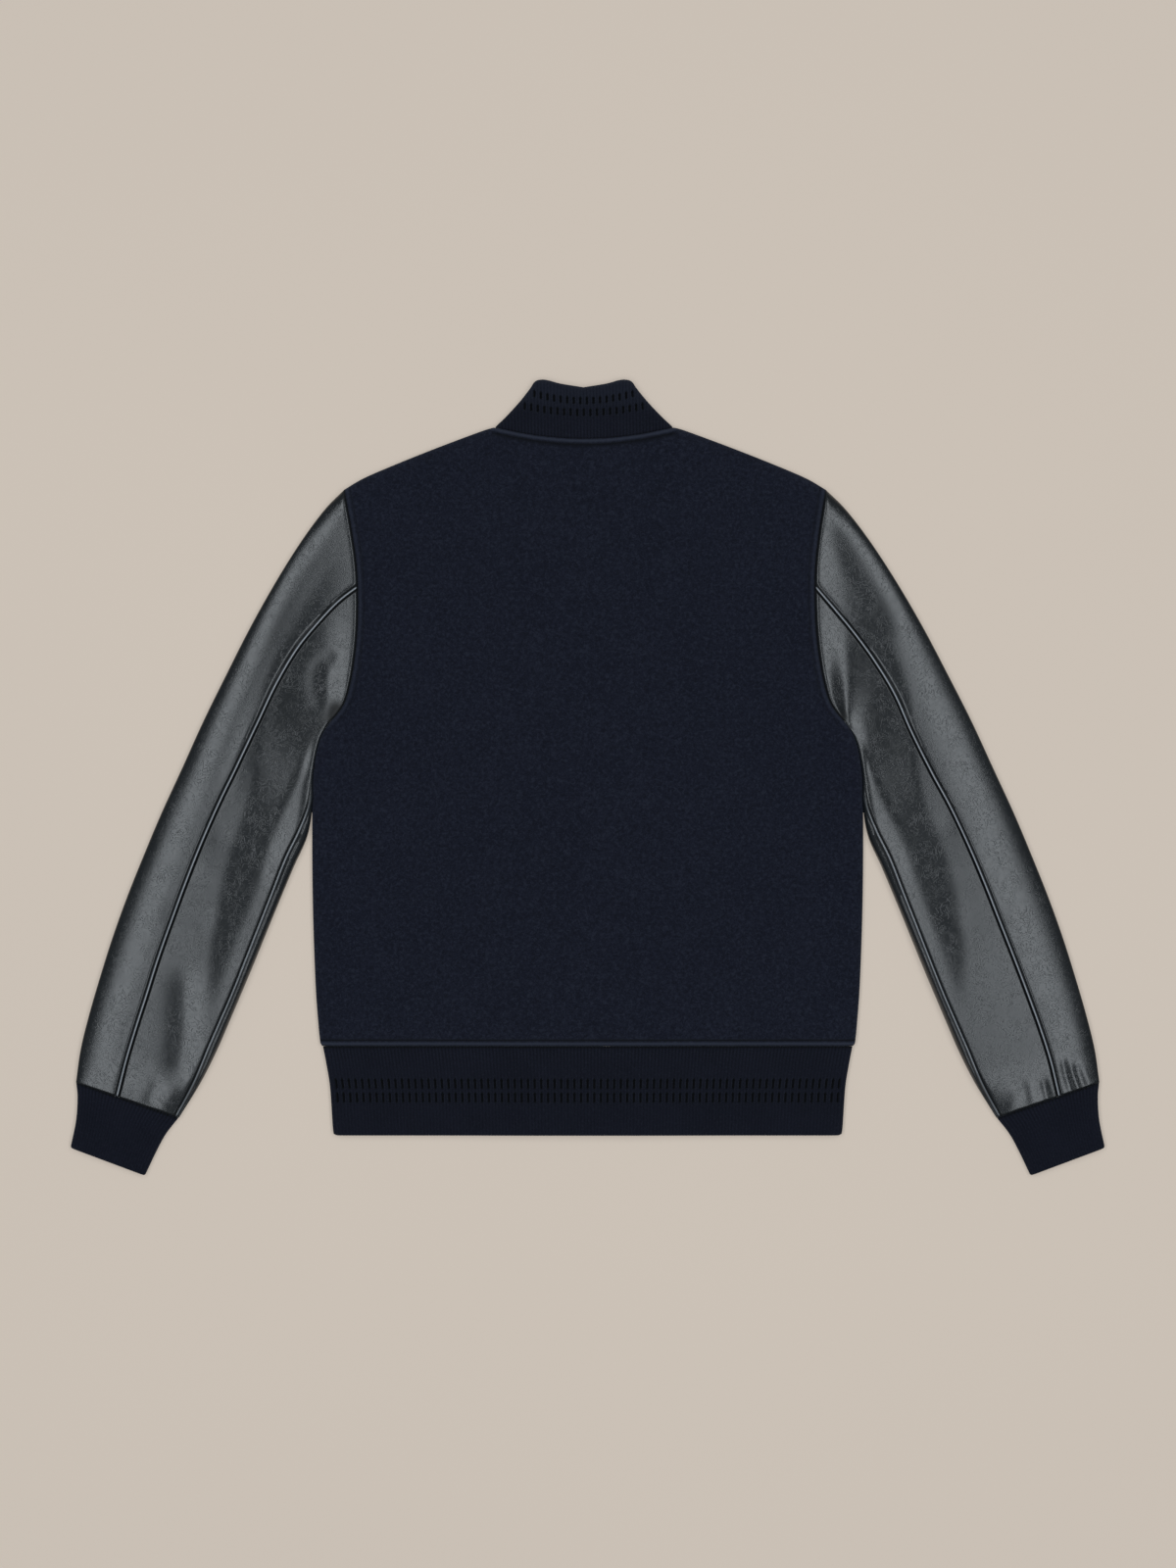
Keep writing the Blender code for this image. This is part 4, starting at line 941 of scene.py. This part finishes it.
def slit_relief(x, y, rows, pitch):
    """Depth share of the knitted slits: 1 inside one, 0 away from it."""
    depth = np.zeros(x.shape)
    for row in rows:
        moved = x - row.shift * pitch
        nearest = np.round(moved / (2 * pitch)) * 2 * pitch + row.shift * pitch
        centre_y = row.centre_y + row.end_rise * (nearest / row.end_x) ** 2
        across = (x - nearest) / row.half_width
        lengthways = (y - centre_y) / row.half_length
        inside = np.clip(SLIT_BODY - np.abs(across) ** 2.5 - np.abs(lengthways) ** 4, 0, 1)
        depth = np.maximum(depth, smoothstep(inside * SLIT_EDGE) * (np.abs(nearest) <= row.end_x))
    return depth


def rim_relief(distance, reach=1.8, drop=1.3):
    """A doubled rib's own edge, which turns over."""
    part = np.clip(1.0 - distance / reach, 0, 1)
    return -drop * (1.0 - np.sqrt(1.0 - part**2))


def rib_seam(distance, form):
    """How far a rib sinks beside its seam and how much painted shade darkens it there."""
    return form.drop * (1.0 - smoothstep(distance / form.reach)), form.shade * bell(distance / form.width)


def finish_rib(node, x, surface, inner, relief, tone, dressing):
    """A rib of the back. It is made for +X, and its columns at x below 0 are turned over."""
    points, outward = surface
    outer = points + outward * relief[..., None]
    for grid in (outer, inner):
        grid[..., 0] *= np.where(x < 0, -1.0, 1.0)
    piece = shell("rib_" + node, outer, inner, np.clip(tone, -1, 1), dressing, every=COLUMNS_PER_RIB)
    finish_piece(piece, node)


def finish_hidden_rib(node, side, surface, inner, ribbing, dressing, every):
    """A rib of the front, which lies on the surface."""
    points, outward = surface
    relief, tone = ribbing
    outer = points + outward * (relief - RIB_RELIEF)[..., None]
    node += side_name(side)
    piece = shell("rib_" + node, outer, inner, tone, dressing, side, every)
    finish_piece(piece, node)


def add_cuff(side, dressing):
    columns = 2 * CUFF_RIBS * COLUMNS_PER_RIB
    positions = (np.arange(columns) + 0.5) * 2.0 / columns
    down = spread(0.0, CUFF_LENGTH, (0.0, 0.5, 1.1, 1.9, 3.0, 4.5), (0.0, 0.3, 0.8, 1.5, 2.6), CUFF_ROW_PITCH)
    rows = through_rows(CUFF, down / CUFF_LENGTH * (len(CUFF) - 1))
    share = np.clip(width_share(positions), CUFF_EDGE_SHARE, 1.0 - CUFF_EDGE_SHARE)[None, :, None]
    plan = rows[:, None, 0:2] + (rows[:, 2:4] - rows[:, 0:2])[:, None] * share
    sunk, painted_shade = rib_seam(down[:, None], CUFF_SEAM)
    above = upper_layer(CUFF_EDGES, plan, CUFF_MID, rows[:, 4:5] - sunk, CUFF_RADIUS)
    outer, outward = wrapped(positions, above, under_layer(CUFF_EDGES, plan, CUFF_MID))
    for ring in (0, -1):
        outward = square_end(outward, rows, ring)
    inner = outer - outward * RIB
    relief, tone = rib_relief(positions[None] * CUFF_RIBS, down[:, None], np.abs(outward[..., 2]))
    relief = relief + rim_relief(CUFF_LENGTH - down)[:, None]
    outer = outer + outward * relief[..., None]
    outer[..., 2] = np.maximum(outer[..., 2], LEAST_HEIGHT)
    node = "cuff_" + side_name(side)
    # painted shade beside the cuff seam
    tone = np.clip(tone - painted_shade, -1, 1)
    piece = shell("rib_" + node, outer, inner, tone, dressing, side, COLUMNS_PER_RIB, closed=True)
    finish_piece(piece, node)


def hem_half_width(rows_at):
    fine = through_rows(HEM, np.linspace(0, len(HEM) - 1, 400))
    return np.interp(-rows_at, -fine[:, 0], fine[:, 1]) - EDGE_INSET


def row_plan(x, rows_at):
    """Plan points at x, in rows of one y each."""
    return np.stack([x, np.repeat(rows_at[:, None], x.shape[1], 1)], axis=-1)


def add_hem_back(dressing):
    # rows are closest over the slits
    rows_at = np.concatenate([
        HEM[0].y - np.array([0.0, 0.5, 1.1, 1.9, 3.0, 4.6]),
        np.arange(-266.5, -288.0, -2.6), np.arange(-288.6, -317.0, -0.95),
        np.arange(-318.5, -341.0, -2.6), HEM[-1].y + np.array([3.4, 2.2, 1.3, 0.6, 0.2, 0.0]),
    ])
    half_width = hem_half_width(rows_at)
    ribs = 2 * int(round(half_width[0] / HEM_RIB_PITCH))
    across = np.linspace(-1, 1, ribs * COLUMNS_PER_RIB + 1)
    plan = row_plan(np.abs(across)[None] * half_width[:, None], rows_at)
    down = (HEM[0].y - rows_at)[:, None]
    sunk, painted_shade = rib_seam(down, HEM_SEAM)
    outer, outward = upper_layer(HEM_EDGES, plan, BODY_MID, body_crown(plan) - RIB_STEP - sunk, HEM_RADIUS)
    outward[0, :, 1] = 0.0
    phase = across * ribs / 2
    relief, tone = rib_relief(phase[None], down, outward[..., 2])
    slit = slit_relief(np.repeat(np.abs(phase)[None] * HEM_RIB_PITCH, len(rows_at), 0), plan[..., 1],
                       HEM_SLITS, HEM_RIB_PITCH)
    relief = relief * (1.0 - slit) - SLIT_DEPTH * slit + rim_relief(rows_at - HEM[-1].y)[:, None]
    # painted shade fills the knitted slits and lies beside the seam
    finish_rib("hem_back", across, (outer, outward), outer - outward * RIB, relief,
               tone * (1 - slit) - slit - painted_shade, dressing)


def add_hem_front(side, dressing):
    rows_at = HEM[0].y - spread(0.0, HEM[0].y - HEM[-1].y, (0.0, 1.0), (0.0, 0.4, 1.2), 5.0)
    half_width = hem_half_width(rows_at)
    ribs = int(round((half_width[0] + LAP) / HEM_RIB_PITCH))
    share = np.linspace(0, 1, ribs * HIDDEN_COLUMNS_PER_RIB + 1)
    x = -LAP + (half_width[:, None] + LAP) * share[None]
    outer, outward = under_layer(HEM_EDGES, row_plan(x, rows_at), BODY_MID, closure_lift(x, side))
    outward[0, :, 1] = 0.0
    ribbing = rib_relief(share[None] * ribs, (HEM[0].y - rows_at)[:, None], np.abs(outward[..., 2]))
    finish_hidden_rib("hem_front_", side, (outer, outward), outer - outward * RIB, ribbing, dressing,
                      HIDDEN_COLUMNS_PER_RIB)


def collar_thickness(low, high):
    """Share of its full thickness that the collar has where it is this high."""
    return np.clip((high - low) / COLLAR_FULL_HEIGHT, THINNEST_COLLAR, 1)


def collar_wall(x, low, high, rows, layer):
    y = low + (high - low) * rows[:, None]
    plan = np.stack([np.repeat(np.abs(x)[None], len(rows), 0), y], axis=-1)
    outer, outward = layer(plan)
    inner = outer - outward * (RIB * collar_thickness(low, high))[None, :, None]
    inner[..., 1] = np.maximum(inner[..., 1], low[None])
    inner[0, :, 1] = low
    return outer, outward, inner, plan


def add_collar_back(dressing):
    ribs = 2 * int(round(COLLAR_REACH / RIB_PITCH))
    x = np.linspace(-COLLAR_REACH, COLLAR_REACH, ribs * COLUMNS_PER_RIB + 1)
    low = neck_y(x, NECK_CENTRE_Y, BACK_NECK_POWER) - COLLAR_TUCK
    high = collar_top_y(x) - EDGE_INSET
    rows = spread(0.0, COLLAR_HEIGHT, (0.0, 0.5, 1.1, 2.0, 3.2, 5.0), (0.0, 0.15, 0.5, 1.1, 2.0, 3.2),
                  COLLAR_ROW_PITCH) / COLLAR_HEIGHT

    def layer(plan):
        over_lap = 1.0 - ramp(plan[..., 0], COLLAR_RAMP)
        crown = BODY_CROWN + (CLOSURE_CROWN - BODY_CROWN) * over_lap
        return upper_layer(COLLAR_EDGES, plan, BODY_MID, crown, COLLAR_RADIUS)

    outer, outward, inner, plan = collar_wall(x, low, high, rows, layer)
    pitch = 2 * COLLAR_REACH / ribs
    above_seam = plan[..., 1] - low[None]
    sunk, painted_shade = rib_seam(above_seam, COLLAR_SEAM)
    relief, tone = rib_relief(x[None] / pitch, above_seam, outward[..., 2])
    # painted light on the collar's upper part
    tone = tone + COLLAR_TOP_PAINTED_LIGHT * ramp(plan[..., 1], COLLAR_TOP_RAMP)
    slit = slit_relief(np.repeat(x[None], len(rows), 0), plan[..., 1], COLLAR_SLITS, pitch)
    fade = collar_thickness(low, high)[None]
    relief = (relief * (1.0 - slit) - SLIT_DEPTH * slit) * fade - sunk * fade
    # painted shade fills the knitted slits and lies beside the seam
    finish_rib("collar_back", x, (outer, outward), inner, relief, tone * (1 - slit) - slit - painted_shade, dressing)


def add_collar_front(side, dressing):
    ribs = int(round(COLLAR_REACH / RIB_PITCH))
    x = np.linspace(SEAM_GAP, COLLAR_REACH, ribs * COLUMNS_PER_RIB + 1)
    low = neck_y(x, FRONT_NECK_Y, FRONT_NECK_POWER) + SEAM_GAP
    fold_x, fold_y = COLLAR_TOP[COLLAR_FOLD_ROW]
    slope = FRONT_COLLAR_TOP_Y + (fold_y - FRONT_COLLAR_TOP_Y) * (x / fold_x) ** FRONT_COLLAR_POWER
    high = np.where(x < fold_x, slope, collar_top_y(x)) - EDGE_INSET
    rows = spread(0.0, 1.0, (0.0, 0.02), (0.0, 0.01, 0.03, 0.06, 0.1), 0.06)

    def layer(plan):
        return under_layer(COLLAR_SLOPE_EDGES, plan, BODY_MID, closure_lift(plan[..., 0], side))

    outer, outward, inner, plan = collar_wall(x, low, high, rows, layer)
    phase = (x - x[0]) / (x[-1] - x[0]) * ribs
    ribbing = rib_relief(phase[None], plan[..., 1] - low[None], np.abs(outward[..., 2]))
    finish_hidden_rib("collar_front_", side, (outer, outward), inner, ribbing, dressing,
                      COLUMNS_PER_RIB)


class Nodes:
    """Adds nodes to a material's tree and joins them. A colour is three numbers."""

    def __init__(self, tree):
        self.tree = tree
        self.place = self.add("ShaderNodeTexCoord").outputs["Object"]

    def feed(self, socket, value):
        if isinstance(value, bpy.types.NodeSocket):
            self.tree.links.new(value, socket)
        else:
            socket.default_value = (*value, 1.0) if isinstance(value, tuple) else value

    def add(self, kind, inputs=None, **settings):
        node = self.tree.nodes.new(kind)
        for name, value in settings.items():
            setattr(node, name, value)
        for key, value in (inputs or {}).items():
            self.feed(node.inputs[key], value)
        return node

    def noise(self, scale, detail=2.0, roughness=0.5, distortion=0.0):
        return self.add("ShaderNodeTexNoise", {
            "Vector": self.place, "Scale": scale, "Detail": detail,
            "Roughness": roughness, "Distortion": distortion,
        }).outputs["Fac"]

    def math(self, operation, first, second=0.0, clamp=False):
        return self.add("ShaderNodeMath", {0: first, 1: second}, operation=operation,
                        use_clamp=clamp).outputs[0]

    def map_range(self, value, low, high, new_low, new_high):
        return self.add("ShaderNodeMapRange", {
            "Value": value, "From Min": low, "From Max": high, "To Min": new_low, "To Max": new_high,
        }).outputs["Result"]

    def mix(self, factor, first, second):
        return self.add("ShaderNodeMix", {0: factor, 6: first, 7: second}, data_type="RGBA").outputs[2]

    def blend(self, value, low, high, first, second, start=0.0, end=1.0):
        """Two colours mixed, start of the second where the value is low and end of it where it is high."""
        return self.mix(self.map_range(value, low, high, start, end), first, second)

    # the per-point painted shading, which mixes painted shade and painted highlight into a colour
    def tone(self):
        return self.add("ShaderNodeAttribute", attribute_name="tone").outputs["Fac"]

    def shaded(self, colour, painted_shade, painted_light, strength=1.0):
        """The colour with painted shade where the painted shading is below 0 and painted highlight where it
        is above.
        """
        tone = self.tone()
        down = self.math("MULTIPLY", tone, -strength, clamp=True)
        up = self.math("MULTIPLY", tone, strength, clamp=True)
        return self.mix(up, self.mix(down, colour, painted_shade), painted_light)

    def bump(self, height, strength, distance, **normal):
        return self.add("ShaderNodeBump", {
            "Height": height, "Strength": strength, "Distance": distance, **normal,
        }).outputs["Normal"]

    def set(self, **values):
        for name, value in values.items():
            self.feed(self.tree.nodes["Principled BSDF"].inputs[name.replace("_", " ")], value)


def wool_nodes(nodes):
    mottled = nodes.noise(26.0, 4.0, 0.6)
    matted = nodes.noise(330.0, 3.0, 0.6, 0.8)
    speckle = nodes.noise(850.0, 3.0, 0.7)
    colour = nodes.blend(mottled, 0.35, 0.65, (0.0043, 0.0054, 0.0118), (0.0056, 0.0068, 0.0140))
    colour = nodes.blend(matted, 0.36, 0.50, colour, (0.0024, 0.0030, 0.0070), 0.85, 0)
    colour = nodes.blend(matted, 0.52, 0.66, colour, (0.0120, 0.0145, 0.0245), 0, 0.75)
    colour = nodes.blend(speckle, 0.54, 0.74, colour, (0.018, 0.021, 0.033), 0, 0.6)
    # colours of the painted shade and painted highlight
    colour = nodes.shaded(colour, (0.0006, 0.0008, 0.0020), (0.022, 0.026, 0.040))
    normal = nodes.bump(matted, 0.45, 0.0009, Normal=nodes.bump(speckle, 0.5, 0.0004))
    nodes.set(Base_Color=colour, Roughness=0.95, Normal=normal, Sheen_Weight=0.16, Sheen_Roughness=0.55,
              Sheen_Tint=(0.55, 0.62, 0.80), Specular_IOR_Level=0.12)


def rib_nodes(nodes):
    yarn = nodes.noise(700.0, 3.0, 0.7)
    mottled = nodes.noise(30.0, 3.0, 0.6)
    rows = nodes.add("ShaderNodeTexWave", {
        "Vector": nodes.place, "Scale": 260.0, "Distortion": 1.2, "Detail": 2.0, "Detail Scale": 2.0,
    }, wave_type="BANDS", bands_direction="Y").outputs["Fac"]
    colour = nodes.blend(mottled, 0.35, 0.65, (0.0026, 0.0033, 0.0078), (0.0036, 0.0044, 0.0098))
    colour = nodes.blend(yarn, 0.50, 0.72, colour, (0.014, 0.016, 0.026), 0, 0.5)
    # colours of the painted shade and painted highlight
    colour = nodes.shaded(colour, (0.0003, 0.0004, 0.0010), (0.018, 0.022, 0.034), 1.3)
    normal = nodes.bump(yarn, 0.4, 0.0003, Normal=nodes.bump(rows, 0.35, 0.0004))
    nodes.set(Base_Color=colour, Roughness=0.93, Normal=normal, Sheen_Weight=0.10, Sheen_Roughness=0.5,
              Sheen_Tint=(0.5, 0.6, 0.85), Specular_IOR_Level=0.15)


def leather_nodes(nodes):
    cloudy = nodes.noise(9.0, 3.0, 0.55)
    pores = nodes.add("ShaderNodeTexVoronoi", {"Vector": nodes.place, "Scale": 900.0, "Randomness": 1.0},
                      feature="SMOOTH_F1").outputs["Distance"]
    winding = nodes.math("MULTIPLY", nodes.noise(105.0, 2.0, 0.5, 1.6), 7.0)
    crease = nodes.map_range(nodes.math("PINGPONG", winding, 0.5), 0.0, 0.15, 1, 0)
    patchy = nodes.map_range(nodes.noise(60.0), 0.40, 0.60, 0.45, 1)
    crease = nodes.math("MULTIPLY", crease, patchy, clamp=True)
    colour = nodes.blend(cloudy, 0.3, 0.7, (0.0060, 0.0078, 0.0092), (0.0095, 0.0115, 0.0132))
    colour = nodes.mix(nodes.math("MULTIPLY", crease, 0.8), colour, (0.005, 0.006, 0.007))
    # colours of the painted shade and painted highlight
    colour = nodes.shaded(colour, (0.0008, 0.0010, 0.0012), (0.240, 0.258, 0.280))
    rough = nodes.map_range(cloudy, 0.3, 0.7, 0.230, 0.250)
    rough = nodes.math("ADD", rough, nodes.math("MULTIPLY", crease, 0.07))
    rough = nodes.math("ADD", rough, nodes.math("MULTIPLY", nodes.tone(), -0.45, clamp=True))
    near = nodes.bump(pores, 0.10, 0.0003)
    normal = nodes.bump(nodes.math("MULTIPLY", crease, -1.0), 0.21, 0.00028, Normal=near)
    nodes.set(Base_Color=colour, Roughness=rough, Normal=normal, Specular_IOR_Level=0.53)


def thread_nodes(nodes):
    twist = nodes.noise(1500.0)
    colour = nodes.mix(twist, (0.0030, 0.0034, 0.0040), (0.0090, 0.0098, 0.0110))
    nodes.set(Base_Color=colour, Roughness=0.6, Normal=nodes.bump(twist, 0.3, 0.0001))


def snap_nodes(nodes):
    rough = nodes.map_range(nodes.noise(800.0, 3.0), 0.3, 0.7, 0.25, 0.42)
    nodes.set(Base_Color=(0.30, 0.30, 0.31), Metallic=1.0, Roughness=rough)


def floor_nodes(nodes):
    colour = nodes.blend(nodes.noise(1.3), 0.3, 0.7, (0.328, 0.275, 0.230), (0.338, 0.284, 0.237))
    nodes.set(Base_Color=colour, Roughness=0.9, Specular_IOR_Level=0.1,
              Emission_Color=(0.302, 0.270, 0.2365), Emission_Strength=1.0)


# Studio: the photograph's frame is 1200 by 1600 and its longer side spans 1.52 m of the floor
FRAME_SPAN = 1.52
LENS = 85.0
SENSOR = 36.0
FRAME_CENTRE = (0.0003, -0.0055)
FLOOR = -0.0001
FLOOR_HALF = 6.0
LIGHT_COLOUR = (0.94, 1.0, 1.05)
LIGHT_X = 1.36
LIGHT_Z = 3.0
LIGHT_TILT = 20.0
LIGHT_SIZE = (1.06, 4.4)
LIGHT_POWER = 60.0
WORLD_COLOUR = (0.95, 1.0, 1.05, 1.0)
WORLD_STRENGTH = 0.16


def add_studio():
    camera = bpy.data.cameras.new("camera")
    camera.lens = LENS
    camera.sensor_width = SENSOR
    camera.clip_end = 100.0
    scene = bpy.context.scene
    scene.camera = placed("camera", camera, (*FRAME_CENTRE, FRAME_SPAN * LENS / SENSOR))
    for side in (-1, 1):
        name = "strip_" + side_name(side)
        lamp = bpy.data.lights.new(name, "AREA")
        lamp.shape = "RECTANGLE"
        lamp.size, lamp.size_y = LIGHT_SIZE
        lamp.energy = LIGHT_POWER
        lamp.color = LIGHT_COLOUR
        lit = placed(name, lamp, (side * LIGHT_X, 0.0, LIGHT_Z))
        lit.rotation_euler = (0.0, np.radians(side * LIGHT_TILT), 0.0)
    scene.world = bpy.data.worlds.new("studio")
    scene.world.use_nodes = True
    background = scene.world.node_tree.nodes["Background"]
    background.inputs["Color"].default_value = WORLD_COLOUR
    background.inputs["Strength"].default_value = WORLD_STRENGTH
    scene.view_settings.view_transform = "Standard"
    corners = [(x * FLOOR_HALF, y * FLOOR_HALF, FLOOR) for x, y in ((-1, -1), (1, -1), (1, 1), (-1, 1))]
    add_mesh("floor", np.array(corners), [[0, 1, 2, 3]], np.zeros(4),
                      material("floor_paper", floor_nodes))


def main():
    add_studio()
    wool = material("navy_wool_cloth", wool_nodes)
    rib = material("navy_rib_knit", rib_nodes)
    leather = material("charcoal_leather_hide", leather_nodes)
    thread = material("sewing_thread", thread_nodes)
    snap = material("snap_metal_finish", snap_nodes)
    add_back(wool)
    for side in (-1, 1):
        add_front(side, wool)
        add_sleeve(side, leather, thread)
        add_cuff(side, rib)
        add_hem_front(side, rib)
        add_collar_front(side, rib)
    add_hem_back(rib)
    add_collar_back(rib)
    for name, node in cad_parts.items():
        if name.startswith("snap_"):
            node.data.materials.clear()
            node.data.materials.append(snap)


main()
